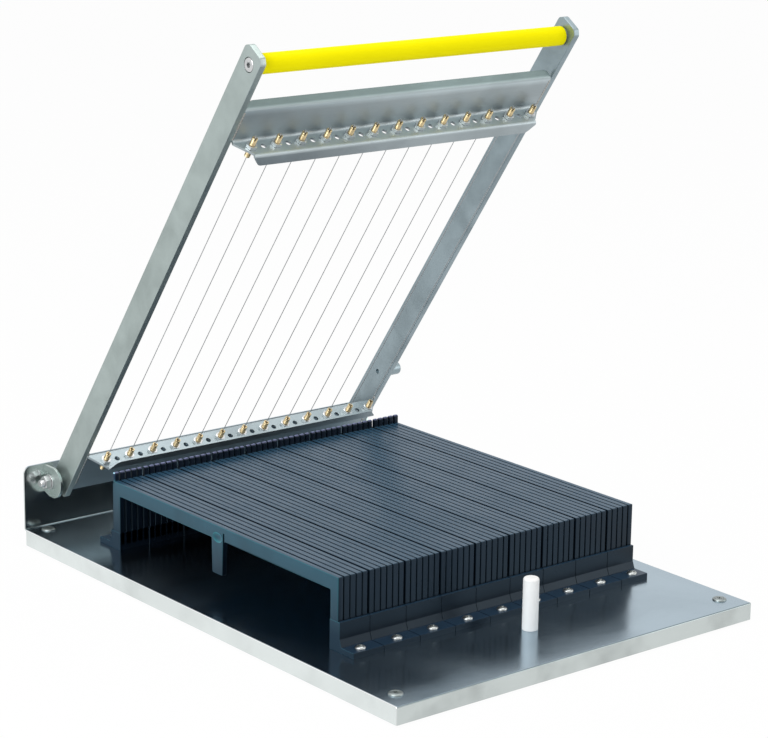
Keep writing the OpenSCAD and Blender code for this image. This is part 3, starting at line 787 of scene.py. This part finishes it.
class CUTTER_OT_tray(Operator):
    """Tray folded from one polished sheet, with a skirt on three sides and an upstand at the rear"""

    bl_idname = "cutter.tray"
    bl_label = "Folded tray"

    def execute(self, context):
        c = context.scene.cutter_tray
        w, front, z = HALF_TRAY, TRAY_FRONT, TOP_Z
        notch, low, high = 1.6 * MM, 2 * MM, TOP_Z + 70.5 * MM
        # A to D are the corners of the top, 0 marks the foot of the skirt, n the notch beside the upstand
        points = {
            "A": (-w, front, z), "B": (w, front, z), "C": (w, FACE_Y, z), "D": (-w, FACE_Y, z),
            "Cn": (w, FACE_Y - notch, z), "Dn": (-w, FACE_Y - notch, z),
            "A0": (-w, front, low), "B0": (w, front, low),
            "C0": (w, FACE_Y - notch, low), "D0": (-w, FACE_Y - notch, low),
        }
        bm = bmesh.new()
        v = {key: bm.verts.new(p) for key, p in points.items()}
        for panel in ("A B Cn C D Dn", "A0 B0 B A", "D0 A0 A Dn", "B0 C0 Cn B"):
            bm.faces.new([v[key] for key in panel.split()])
        side, level = w - c.corner, high - c.corner
        top = arc(side, level, c.corner, 0, 90, 8) + arc(-side, level, c.corner, 90, 180, 8)
        bm.faces.new([v["D"], v["C"]] + [bm.verts.new((x, FACE_Y, zz)) for x, zz in top])
        folds = [("A", "B"), ("A", "Dn"), ("B", "Cn"), ("A", "A0"), ("B", "B0"), ("C", "D")]
        edges = [bm.edges.get((v[a], v[b])) for a, b in folds]
        bmesh.ops.bevel(
            bm, geom=edges, offset=c.bend, segments=5, profile=0.5, affect="EDGES", clamp_overlap=True
        )
        mesh = bpy.data.meshes.new("folded_tray")
        bm.to_mesh(mesh)
        bm.free()
        ob = link("folded_tray", mesh)
        sheet = ob.modifiers.new("sheet", "SOLIDIFY")
        sheet.thickness, sheet.offset, sheet.use_even_offset = c.sheet, -1, True
        publish(applied(ob), "sheet", "tray", ["base_tray"])
        return {"FINISHED"}


def foot_profile(top, leg):
    """Side view of a foot: a flange on the tray, a rounded neck and the band that stands against a leg."""
    out, low, reach = 3 * MM, 13 * MM, 25 * MM
    points = [
        (leg, 0), (leg, top), (-out, top), (-out, low), (-2 * out, FOOT_THICK), (-reach, FOOT_THICK), (-reach, 0)
    ]
    return rounded(points, [0, 0, 0.4 * MM, 2 * MM, 1.2 * MM, 0.5 * MM, 0], 3)


def slat_profile(post):
    """Side view of one slat: bridge and legs, and the hanging post with its slot where it has one."""
    d, h, foot = BED_LONG, BED_HIGH, 6 * MM
    deck = h - 15 * MM
    under, radii = [(d - LEG_REAR, deck), (LEG_FRONT, deck)], [1.5 * MM, 1.5 * MM]
    if post:
        middle, low, half = d / 2 + 3.5 * MM, 23 * MM, 10 * MM
        taper, slot, rise = 1.2 * MM, 2 * MM, 9 * MM
        a, b = middle - half, middle + half
        hanging = [(b, deck), (b - taper, low), (a + taper, low), (a, deck)]
        gap = [(a, deck + rise), (a - slot, deck + rise), (a - slot, deck)]
        under = under[:1] + hanging + gap + under[1:]
        radii = [1.5 * MM, 1 * MM, 1 * MM, 1 * MM, 0, slot * 0.48, slot * 0.48, 0.3 * MM, 1.5 * MM]
    points = [(0, foot), (0, h), (d, h), (d, foot), (d - LEG_REAR, foot)] + under + [(LEG_FRONT, foot)]
    return rounded(points, [0, 0.9 * MM, 0.2 * MM, 0, 0] + radii + [0], 4)


def slat_piece(c, x0, x1, end=0):
    """A slat with its fence prong; end is -1 or 1 for the outer slat on that side, with its post and its dent."""
    d, h, thick = BED_LONG, BED_HIGH, 4.6 * MM
    foot, tip, dome = h - 4 * MM, h + c.prong, thick * 0.46
    outline = [(d - thick, foot), (d - thick, tip), (d, tip), (d, foot)]
    outline = rounded(outline, [0, dome, dome, 0], 5)
    prong = slab("prong", outline, [], x0, x1, 1.4 * MM, across_x(), 4)
    edge, steps = (1.1 * MM, 2) if end else (c.edge, 1)
    body = slab("slat", slat_profile(end), [], x0, x1, edge, across_x(), steps)
    if end:
        out = 1.5 * MM
        centre = (x0 - out if end < 0 else x1 + out, d / 2 + 3 * MM, h - 12.5 * MM)
        dent = lathe("dent", [(0, -1)] + arc(0, 0, 1, -75, 75, 10) + [(0, 1)], n=32)
        dent.data.transform(Matrix.Translation(centre) @ Matrix.Diagonal((3.2 * MM, 9.6 * MM, 6 * MM, 1)))
        body = cut(tidy(body), [dent])
    return tidy(join("slat", [body, prong]))


class CUTTER_OT_bed(Operator):
    """Nine moulded modules of slats, standing on screwed feet"""

    bl_idname = "cutter.bed"
    bl_label = "Slotted bed"

    def execute(self, context):
        c = context.scene.cutter_bed
        x = BED_SHIFT - sum(SLAT_COUNTS) * c.pitch / 2
        flip = Matrix.Translation((0, BED_LONG, 0)) @ Matrix.Scale(-1, 4, (0, 1, 0))
        gap, edge, half = 0.2 * MM, 0.25 * MM, c.slot / 2
        last = len(SLAT_COUNTS) - 1
        for k, count in enumerate(SLAT_COUNTS):
            width = count * c.pitch
            ends = []
            for top, leg in ((30 * MM, LEG_FRONT), (19 * MM, LEG_REAR)):
                ends.append(slab("foot", foot_profile(top, leg), [], gap, width - gap, edge, across_x(), 1))
            ends[1].data.transform(flip)
            ends.append(slat_piece(c, half + c.seam * (k > 0), c.pitch - half, -(k == 0)))
            ends.append(slat_piece(c, width - c.pitch + half, width - half - c.seam * (k < last), int(k == last)))
            base = tidy(join("ends", ends))
            step = (c.pitch, 0, 0)
            slat = slat_piece(c, half, c.pitch - half)
            ob = row("slat_module_%d" % (k + 1), slat, count - 2, step, step, "bed", base)
            ob.data.transform(Matrix.Translation((x, BED_FRONT, TOP_Z)))
            publish(ob, "bed", "tray", ["bed_module_%d" % (k + 1)])
            x += width
        return {"FINISHED"}


def pan_screw(name, d_head, h_head, d, length):
    """Pan head screw with a cross recess; the head's underside is at zero height."""
    r, shank = d_head / 2, d / 2
    dome = []
    for a in range(0, 73, 18):
        rise = math.sin(math.radians(a))
        dome.append((r * math.cos(math.radians(a)), h_head * (0.28 + 0.72 * rise)))
    prof = [(0, -length), (shank * 0.8, -length), (shank, -length + d * 0.15), (shank, 0), (r, 0)]
    ob = lathe(name, prof + dome + [(0, h_head)], n=28)
    return cut(ob, cross_cutters(r * 0.66, d_head * 0.1, h_head * 0.3, h_head * 2))


class CUTTER_OT_bed_screws(Operator):
    """Cross recessed screws that hold the bed modules, in front and behind"""

    bl_idname = "cutter.bed_screws"
    bl_label = "Bed screws"

    def execute(self, context):
        out, gap = 16.5 * MM, 45 * MM
        for name, y in (("front", BED_FRONT - out), ("rear", BED_FRONT + BED_LONG + out)):
            piece = pan_screw("bed_screw", 11 * MM, 3 * MM, 5 * MM, 11.5 * MM)
            piece.data.transform(Matrix.Rotation(0.6, 4, "Z"))
            start = (BED_SHIFT - 4 * gap, y, TOP_Z + FOOT_THICK)
            ob = row("bed_screw_row_" + name, piece, 9, start, (gap, 0, 0), "cross")
            publish(ob, "cross", "tray", ["bed_screws_" + name])
        return {"FINISHED"}


class CUTTER_OT_feet(Operator):
    """Screws with their collars at the four corners of the tray"""

    bl_idname = "cutter.feet"
    bl_label = "Corner screws"

    def execute(self, context):
        screw = mm(
            (0, -10), (2, -10), (2.5, -9.4), (2.5, -0.1), (4.6, 1.6), (4.5, 1.75), (3.2, 1.8), (0, 1.8)
        )
        collar = mm(
            (2.6, 0), (7.25, 0), (7.25, 0.5), (6.95, 1.15), (6.3, 1.65), (5.6, 1.8), (5.0, 1.8), (4.8, 1.68),
            (2.6, 0.05), (2.6, 0),
        )
        heads, collars = [], []
        for x in (-212.5 * MM, 212.5 * MM):
            for y in (-295 * MM, 304 * MM):
                at = Matrix.Translation((x, y, TOP_Z))
                head = cut(lathe("head", screw, n=32), cross_cutters(2.6 * MM, 0.6 * MM, 0.5 * MM, 3 * MM))
                # Each corner's cross is left at another angle
                head.data.transform(at @ Matrix.Rotation(x * 30 + y * 9, 4, "Z"))
                heads.append(head)
                collars.append(lathe("collar", collar, at, 44))
        publish(join("corner_screws", heads), "collar", "tray", ["foot_screws"])
        publish(join("corner_collars", collars), "collar", "tray", ["foot_washers"])
        return {"FINISHED"}


class CUTTER_OT_peg(Operator):
    """White stop peg in front of the bed"""

    bl_idname = "cutter.peg"
    bl_label = "Stop peg"

    def execute(self, context):
        r, h, top, foot = 8 * MM, 54 * MM, 2.6 * MM, 0.4 * MM
        prof = [(0, 0), (r - foot, 0), (r, foot)] + [(r, h * k / 6) for k in range(1, 6)]
        prof += arc(r - top, h - top, top, 0, 90, 6) + [(0, h)]
        at = Matrix.Translation((0, BED_FRONT - 64.5 * MM, TOP_Z))
        publish(lathe("stop_peg_body", prof, at, 48), "peg", "tray", ["stop_peg"])
        return {"FINISHED"}


class CUTTER_OT_hinge(Operator):
    """Hinge lugs with their bolts, spacers, washers and nuts"""

    bl_idname = "cutter.hinge"
    bl_label = "Hinges"

    def execute(self, context):
        lug_in, lug_out, r = 210.1 * MM, 213.1 * MM, 17 * MM
        play, bore, bolt_r, washer = 0.05 * MM, 4.05 * MM, 4 * MM, 1.5 * MM
        head, head_r, chamfer = ARM_IN - 5.2 * MM, 6.4 * MM, 0.8 * MM
        end = lug_out + 13.1 * MM
        bolt_prof = [(0, head), (5.4 * MM, head), (head_r, head + chamfer), (head_r, ARM_IN - play)]
        bolt_prof += [(bolt_r, ARM_IN - play)]
        bolt_prof += thread(lug_out + 1 * MM, end - 1.2 * MM, bolt_r, 3.72 * MM, 0.45 * MM, 1 * MM)
        bolt_prof += [(3.4 * MM, end - 0.5 * MM), (0, end - 0.4 * MM)]
        socket = mm((0, 0), (3.2, 0), (3.2, 6), (0, 6))
        at = across_x(PIVOT.y, PIVOT.z)
        yc, zc = FACE_Y - r, PIVOT.z
        ear = [(FACE_Y, zc - r * 0.78), (FACE_Y, zc + r)] + arc(yc, zc, r, 90, 262, 20)
        ear = rounded(ear + [(FACE_Y - r * 0.62, zc - r)], [0.3 * MM, 0.3 * MM] + [0] * 21 + [0.8 * MM], 2)
        eye = circle(PIVOT.y, zc, bore, 32)
        for side, k in (("left", -1), ("right", 1)):
            flip = Matrix.Translation((BED_SHIFT, 0, 0)) @ Matrix.Scale(k, 4, (1, 0, 0))
            lug = slab("hinge_ear_" + side, ear, [eye], lug_in, lug_out, 0.35 * MM, across_x())
            bolt = lathe("hinge_bolt_" + side, bolt_prof, at, 36)
            key = lathe("socket", socket, at @ Matrix.Translation((0, 0, head - 3 * MM)), 6)
            pieces = (
                (lug, "lug", "hinge_lug_"),
                (cut(bolt, [key]), "bolt", "pivot_bolt_"),
                (
                    tube("hinge_spacer_" + side, 8 * MM, bore, ARM_OUT + play, lug_in - play, 0.5 * MM, at),
                    "bolt", "pivot_spacer_",
                ),
                (
                    tube("hinge_washer_" + side, 8.5 * MM, bore, lug_out, lug_out + washer, 0.3 * MM, at),
                    "bolt", "pivot_washer_",
                ),
                (
                    hex_ring(
                        "hinge_nut_" + side, 12.8 * MM, 6.4 * MM, 8.1 * MM,
                        at @ Matrix.Translation((0, 0, lug_out + washer)),
                    ),
                    "bolt", "pivot_nut_",
                ),
            )
            for ob, material, node in pieces:
                ob.data.transform(flip)
                tidy(ob)
                body = frame["nodes"][node + side]["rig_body"]
                publish(ob, material, body, [node + side])
        return {"FINISHED"}


class CUTTER_OT_arms(Operator):
    """Two arms of brushed flat bar with cut corners at the handle"""

    bl_idname = "cutter.arms"
    bl_label = "Arms"

    def execute(self, context):
        edge = context.scene.cutter_frame.edge
        snip = 5 * MM
        outline = [
            (snip - ARM_LEN, ARM_HIGH), (-ARM_LEN, ARM_HIGH - snip), (-ARM_LEN, ARM_LOW + snip),
            (snip - ARM_LEN, ARM_LOW), (ARM_HIGH - snip, ARM_LOW), (ARM_HIGH, ARM_LOW + snip),
        ]
        outline = rounded(outline, [4 * MM] * 4 + [1.5 * MM, 2 * MM], 6) + arc(0, 0, ARM_HIGH, 0, 90, 10)
        handle_hole = circle(-HANDLE_S, ARM_MID, 7.4 * MM, 44)
        knob_hole = circle(-KNOB_S, ARM_MID, 2.6 * MM, 20)
        # The right arm takes the arm's finish darkened as painted shade
        for side, k, material, holes in (
            ("left", -1, "arm", [handle_hole]), ("right", 1, "arm_painted_shade", [handle_hole, knob_hole])
        ):
            ob = slab("flat_arm_" + side, outline, holes, ARM_IN, ARM_OUT, edge, across_x())
            ob.data.transform(IN_FRAME @ Matrix.Scale(k, 4, (1, 0, 0)))
            publish(tidy(ob), material, "wire_frame", ["arm_" + side])
        return {"FINISHED"}


class CUTTER_OT_handle(Operator):
    """Yellow sleeve on its rod, with collars and countersunk screws"""

    bl_idname = "cutter.handle"
    bl_label = "Handle"

    def execute(self, context):
        at = IN_FRAME @ across_x(-HANDLE_S, ARM_MID)
        r, bore, collar = context.scene.cutter_frame.sleeve / 2, 6.05 * MM, 2 * MM
        ob = tube("grip_sleeve", r, bore, -ARM_IN + collar, ARM_IN - collar, 0.8 * MM, at, 56)
        publish(ob, "sleeve", "wire_frame", ["handle_sleeve"])
        rings = [tube("collar", 8 * MM, bore, a, a + collar, 0.3 * MM, at) for a in (-ARM_IN, ARM_IN - collar)]
        publish(join("grip_collars", rings), "bolt", "wire_frame", ["handle_collars"])
        out, tip = ARM_OUT - 0.12 * MM, ARM_IN - 12 * MM
        shank, head, key = 3 * MM, 6.9 * MM, 3.1 * MM
        screw = [(0, tip), (shank, tip), (shank, out - 4.6 * MM), (head, out - 1.1 * MM)]
        screw += [(head, out - 0.35 * MM), (6.5 * MM, out), (0, out)]
        socket = [(0, out - 5 * MM), (key, out - 5 * MM), (key, out + 2 * MM), (0, out + 2 * MM)]
        for side, k in (("left", -1), ("right", 1)):
            ob = cut(lathe("grip_screw_" + side, screw, n=44), [lathe("socket", socket, n=6)])
            ob.data.transform(at @ Matrix.Scale(k, 4, (0, 0, 1)))
            publish(tidy(ob), "bolt", "wire_frame", ["handle_screw_" + side])
        return {"FINISHED"}


class CUTTER_OT_knob(Operator):
    """Short turned knob on the right arm"""

    bl_idname = "cutter.knob"
    bl_label = "Arm knob"

    def execute(self, context):
        r, a, b = 7.25 * MM, ARM_OUT, ARM_OUT + 23 * MM
        shank, tip = 2.5 * MM, ARM_IN + 2.4 * MM
        prof = [(0, tip), (shank, tip), (shank, a), (r - 0.6 * MM, a), (r, a + 0.6 * MM)]
        prof += [(r, b - 1.6 * MM), (r - 0.5 * MM, b - 0.5 * MM), (r - 1.6 * MM, b), (0, b)]
        ob = lathe("turned_knob", prof, IN_FRAME @ across_x(-KNOB_S, ARM_MID), 44)
        # The knob takes the right arm's finish, whose darker steel is painted shade
        publish(ob, "arm_painted_shade", "wire_frame", ["arm_knob"])
        return {"FINISHED"}


def folded_bar(name, path, thick):
    """A folded strip; path gives its visible side as (y, z, half the strip's width there)."""
    n = len(path)
    face = [Vector(p[:2]) for p in path]
    edges = [(q - p).normalized() for p, q in zip(face, face[1:])]
    back = []
    for k, (y, z, half) in enumerate(path):
        m = mitre(edges[max(k - 1, 0)], edges[min(k, n - 2)])
        back.append((y + m.x * thick, z + m.y * thick, half))
    loop = path + back[::-1]
    m = len(loop)
    verts = [(-half, y, z) for y, z, half in loop] + [(half, y, z) for y, z, half in loop]
    faces = [(k, (k + 1) % m, m + (k + 1) % m, m + k) for k in range(m)]
    for k in range(n - 1):
        faces.append((k + 1, k, m - 1 - k, m - 2 - k))
        faces.append((m + k, m + k + 1, 2 * m - 2 - k, 2 * m - 1 - k))
    return tidy(mesh_object(name, verts, faces))


def bar_path(s, up, thick):
    """The visible side of a wire bar: lip, ledge and web, and on the upper one the turned edge beyond the web."""
    ledge, mitred, flare = 23 * MM, ARM_IN - 15 * MM, 7.5 * MM
    r, curl, rim = 3.4 * MM, 4 * MM, (0, 0.7, 1.5, 3)
    bottom = ARM_LOW - ledge

    def nose(d):
        """How far the strip's rounded corner stands back, d from its edge."""
        return curl - math.sqrt(curl**2 - (curl - d) ** 2)

    lip, side = (14 * MM, 1) if up else (10 * MM, -1)
    path = []
    for d in rim:
        out = lip - d * MM
        path.append((-s + out * side, bottom, mitred - flare * out / lip - nose(d * MM)))
    if not up:
        face, tight = thick - s, 1 * MM
        path += [(y, z, mitred) for y, z in arc(face - r, bottom + r, r, 270, 360, 5)]
        path += [(y, z, ARM_IN) for y, z in arc(face + tight, ARM_LOW - tight, tight, 180, 90, 3)]
        return path + [(55 * MM - s, ARM_LOW, ARM_IN)]
    path += [(y, z, mitred) for y, z in arc(r - s, bottom + r, r, 270, 180, 5)]
    path += [(y, z, ARM_IN) for y, z in arc(-s - r, ARM_LOW - r, r, 0, 90, 5)]
    top, slant, wide, nip = -s - 39.5 * MM, math.radians(45), 9.5 * MM, 6 * MM
    for y, z in arc(top + curl * math.tan(slant / 2), ARM_LOW + curl, curl, 270, 225, 4):
        path.append((y, z, ARM_IN - nip * max(0, top - y) / (wide * math.cos(slant))))
    for d in reversed(rim):
        out = wide - d * MM
        half = ARM_IN - nip * out / wide - nose(d * MM)
        path.append((top - out * math.cos(slant), ARM_LOW + out * math.sin(slant), half))
    return path[::-1]


class CUTTER_OT_wire_bars(Operator):
    """Two folded bars between the arms that carry the wires"""

    bl_idname = "cutter.wire_bars"
    bl_label = "Wire bars"

    def execute(self, context):
        c = context.scene.cutter_frame
        spare = [(0, -4 * MM), (c.spare / 2, -4 * MM), (c.spare / 2, 4 * MM), (0, 4 * MM)]
        for name, s, up in (("upper", UPPER_S, True), ("lower", LOWER_S, False)):
            ob = folded_bar("folded_bar_" + name, bar_path(s, up, c.sheet), c.sheet)
            hole = lathe("hole", spare, Matrix.Rotation(math.pi / 2, 4, "X"), 20)
            start = (-(WIRES - 2) / 2 * WIRE_GAP, -s, -WIRE_DROP)
            ob = cut(ob, [row("holes", hole, WIRES - 1, start, (WIRE_GAP, 0, 0), "bolt")])
            ob.data.transform(IN_FRAME)
            publish(ob, "bar", "wire_frame", [name + "_wire_bar"], sharp=28)
        return {"FINISHED"}


class CUTTER_OT_welds(Operator):
    """Short weld beads that hold the wire bars between the arms"""

    bl_idname = "cutter.welds"
    bl_label = "Weld beads"

    def execute(self, context):
        r, drops = 1.5 * MM, 12
        for name, s, reach in (("upper", UPPER_S, -36 * MM), ("lower", LOWER_S, 50 * MM)):
            rows = []
            for k in (-1, 1):
                drop = lathe("drop", [(0, -r)] + arc(0, 0, r, -60, 60, 4) + [(0, r)], n=12)
                drop.data.transform(Matrix.Diagonal((1, 1.4, 0.8, 1)))
                start = (k * (ARM_IN - 0.5 * MM), -s - 2 * MM, ARM_LOW + 0.6 * MM)
                rows.append(row("beads", drop, drops, start, (0, reach / drops, 0), "weld"))
            ob = join("weld_beads_" + name, rows)
            ob.data.transform(IN_FRAME)
            publish(ob, "weld", "wire_frame")
        return {"FINISHED"}


def slotted_screw(turn):
    """Slotted screw with a hollow end, its slot at that angle."""
    low, up, r, hollow = -12 * MM, 12 * MM, 3 * MM, 1.7 * MM
    prof = [(0, low), (2.5 * MM, low), (2.95 * MM, low + 0.5 * MM)]
    prof += thread(low + 1 * MM, up - 2.2 * MM, r, 2.68 * MM, 0.5 * MM, 1.15 * MM)
    prof += [(r, up - 1.2 * MM), (r, up - 0.5 * MM), (2.6 * MM, up), (1.9 * MM, up)]
    prof += [(hollow, up - 0.3 * MM), (hollow, up - 4 * MM), (0, up - 4 * MM)]
    slot = box_cutter(-5 * MM, 5 * MM, -0.6 * MM, 0.6 * MM, up - 2.1 * MM, up + 2 * MM, turn)
    return cut(lathe("screw", prof, n=24), [slot])


class CUTTER_OT_tuners(Operator):
    """Slotted brass screws and their nuts on both wire bars"""

    bl_idname = "cutter.tuners"
    bl_label = "Wire screws"

    def execute(self, context):
        along = Matrix.Rotation(math.pi / 2, 4, "X")
        for name, s, turn in (("tension", UPPER_S, 1.0), ("anchor", LOWER_S, 0.7)):
            screw = slotted_screw(turn)
            screw.data.transform(along)
            nut = hex_ring("nut", 10 * MM, 4 * MM, 6.1 * MM, along @ Matrix.Rotation(0.3, 4, "Z"))
            start = (-(WIRES - 1) / 2 * WIRE_GAP, -s, -WIRE_DROP)
            for piece, kind, material, slot in (
                (screw, "screws", "brass", "brass"), (nut, "nuts", "bolt", "fastener_steel")
            ):
                ob = row("%s_%s_row" % (name, kind), piece, WIRES, start, (WIRE_GAP, 0, 0), material)
                ob.data.transform(IN_FRAME)
                publish(ob, material, "wire_frame", ["%s_%s" % (name, kind)])
        return {"FINISHED"}


class CUTTER_OT_kept(Operator):
    """Finishes of the parts that keep their own solids"""

    bl_idname = "cutter.kept"
    bl_label = "Plain parts"

    def execute(self, context):
        for node, key in (
            ("handle_rod", "bolt"), ("cutting_wires", "wire"), ("bed_nuts_front", "bolt"),
            ("bed_nuts_rear", "bolt"), ("peg_screw", "bolt"), ("rubber_feet", "rubber"),
        ):
            ob = frame["nodes"][node]
            if ob.material_slots:
                for slot in ob.material_slots:
                    slot.material = mat(key)
            else:
                ob.data.materials.append(mat(key))
        return {"FINISHED"}


# The studio
def seen_directly(tree):
    """1 where the camera, a reflection or glass sees the white surroundings, 0 for the light they give."""
    path = add(tree, "ShaderNodeLightPath")
    seen = maths(tree, "MAXIMUM", path.outputs["Is Camera Ray"], path.outputs["Is Glossy Ray"])
    return maths(tree, "MAXIMUM", seen, path.outputs["Is Transmission Ray"])


def studio_floor(colour):
    """A matt pale floor, 18 m across, that keeps a faint shadow and otherwise looks white."""
    half = 9
    corners = [(-half, -half, 0), (half, -half, 0), (half, half, 0), (-half, half, 0)]
    floor = mesh_object("floor", corners, [(0, 1, 2, 3)])
    material = bpy.data.materials.new("studio_floor")
    material.use_nodes = True
    tree = material.node_tree
    bsdf = tree.nodes["Principled BSDF"]
    bsdf.inputs["Roughness"].default_value = 0.9
    where = add(tree, "ShaderNodeTexCoord").outputs["Object"]
    noise = add(tree, "ShaderNodeTexNoise", [("Vector", where)], in_Scale=3)
    tint = add(
        tree, "ShaderNodeMix", [(0, noise.outputs[0])],
        data_type="RGBA", in_6=(*colour, 1), in_7=(*shade(colour, 0.985), 1),
    )
    tree.links.new(tint.outputs[2], bsdf.inputs["Base Color"])
    share = maths(tree, "MULTIPLY", seen_directly(tree), 0.965)
    white = add(tree, "ShaderNodeEmission", in_0=WHITE, in_1=1)
    mix = add(tree, "ShaderNodeMixShader", [(0, share), (1, bsdf.outputs[0]), (2, white.outputs[0])])
    tree.links.new(mix.outputs[0], tree.nodes["Material Output"].inputs[0])
    floor.data.materials.append(material)


def studio_world(scene):
    """White all round, at less strength for the light that it gives."""
    world = bpy.data.worlds.new("white_surroundings")
    scene.world = world
    world.use_nodes = True
    tree = world.node_tree
    level = add(tree, "ShaderNodeMapRange", [(0, seen_directly(tree))], in_1=0, in_2=1, in_3=0.45, in_4=1)
    background = tree.nodes["Background"]
    tree.links.new(level.outputs[0], background.inputs["Strength"])
    background.inputs["Color"].default_value = WHITE


def studio_lamp(name, power, size, at, to):
    """A soft lamp at one point, turned to another."""
    lamp = bpy.data.lights.new(name, "AREA")
    lamp.shape, lamp.energy = "RECTANGLE", power
    lamp.size, lamp.size_y = size
    ob = link(name, lamp)
    ob.location = at
    ob.rotation_euler = (Vector(to) - Vector(at)).to_track_quat("-Z", "Y").to_euler()


def studio_camera(scene, lens):
    """The camera, from its place and turn."""
    az, el, roll = (math.radians(v) for v in CAMERA_TURN)
    ahead = Vector((-math.sin(az) * math.cos(el), math.cos(az) * math.cos(el), math.sin(el)))
    right = ahead.cross(Vector((0, 0, 1))).normalized()
    up = right.cross(ahead)
    rolled_right = right * math.cos(roll) + up * math.sin(roll)
    rolled_up = -right * math.sin(roll) + up * math.cos(roll)
    cam = bpy.data.cameras.new("camera")
    cam.lens, cam.sensor_width, cam.sensor_fit = lens, 36, "HORIZONTAL"
    cam.clip_start, cam.clip_end = 0.05, 60
    ob = link("camera", cam)
    turn = Matrix((rolled_right, rolled_up, -ahead)).transposed().to_4x4()
    ob.matrix_world = Matrix.Translation(CAMERA_AT) @ turn
    scene.camera = ob


class CUTTER_OT_stage(Operator):
    """Floor, soft lamps, white surroundings and the camera"""

    bl_idname = "cutter.stage"
    bl_label = "Studio"

    def execute(self, context):
        scene = context.scene
        c = scene.cutter_studio
        studio_floor(c.floor)
        studio_world(scene)
        studio_lamp("key_lamp", c.key, (1.6, 1.6), (-2.2, -0.6, 1.5), (0, 0, 0.15))
        studio_lamp("fill_lamp", c.fill, (1.4, 1.4), (1.9, -1.7, 0.9), (0, 0, 0.15))
        studio_lamp("top_lamp", c.top, (2.2, 1.6), (0.2, 0.2, 2.4), (0, 0, 0))
        studio_camera(scene, c.lens)
        scene.view_settings.view_transform = "Standard"
        return {"FINISHED"}


class CUTTER_PT_parts(Panel):
    """Sizes, colours and makers of the cutter's parts"""

    bl_idname = "CUTTER_PT_parts"
    bl_label = "Wire frame cutter"
    bl_space_type = "VIEW_3D"
    bl_region_type = "UI"
    bl_category = "Cutter"

    def draw(self, context):
        for key in GROUP_TYPES:
            box = self.layout.box()
            box.label(text=key.replace("cutter_", "").title())
            data = getattr(context.scene, key)
            for p in data.__annotations__:
                box.prop(data, p)
        for op in STEPS:
            self.layout.operator(op.bl_idname)


STEPS = (
    CUTTER_OT_tray, CUTTER_OT_bed, CUTTER_OT_bed_screws, CUTTER_OT_feet, CUTTER_OT_peg,
    CUTTER_OT_hinge, CUTTER_OT_arms, CUTTER_OT_handle, CUTTER_OT_knob, CUTTER_OT_wire_bars,
    CUTTER_OT_welds, CUTTER_OT_tuners, CUTTER_OT_kept, CUTTER_OT_stage,
)
GROUP_TYPES = {
    "cutter_tray": TraySizes,
    "cutter_bed": BedSizes,
    "cutter_frame": FrameSizes,
    "cutter_finishes": Finishes,
    "cutter_studio": Studio,
}


def register():
    for cls in (*GROUP_TYPES.values(), *STEPS, CUTTER_PT_parts):
        bpy.utils.register_class(cls)
    for key, kind in GROUP_TYPES.items():
        setattr(bpy.types.Scene, key, PointerProperty(type=kind))


def unregister():
    for key in GROUP_TYPES:
        delattr(bpy.types.Scene, key)
    for cls in (CUTTER_PT_parts, *reversed(STEPS), *reversed(list(GROUP_TYPES.values()))):
        bpy.utils.unregister_class(cls)


def main():
    register()
    for step in STEPS:
        area, verb = step.bl_idname.split(".")
        getattr(getattr(bpy.ops, area), verb)()


if __name__ == "__main__":
    main()
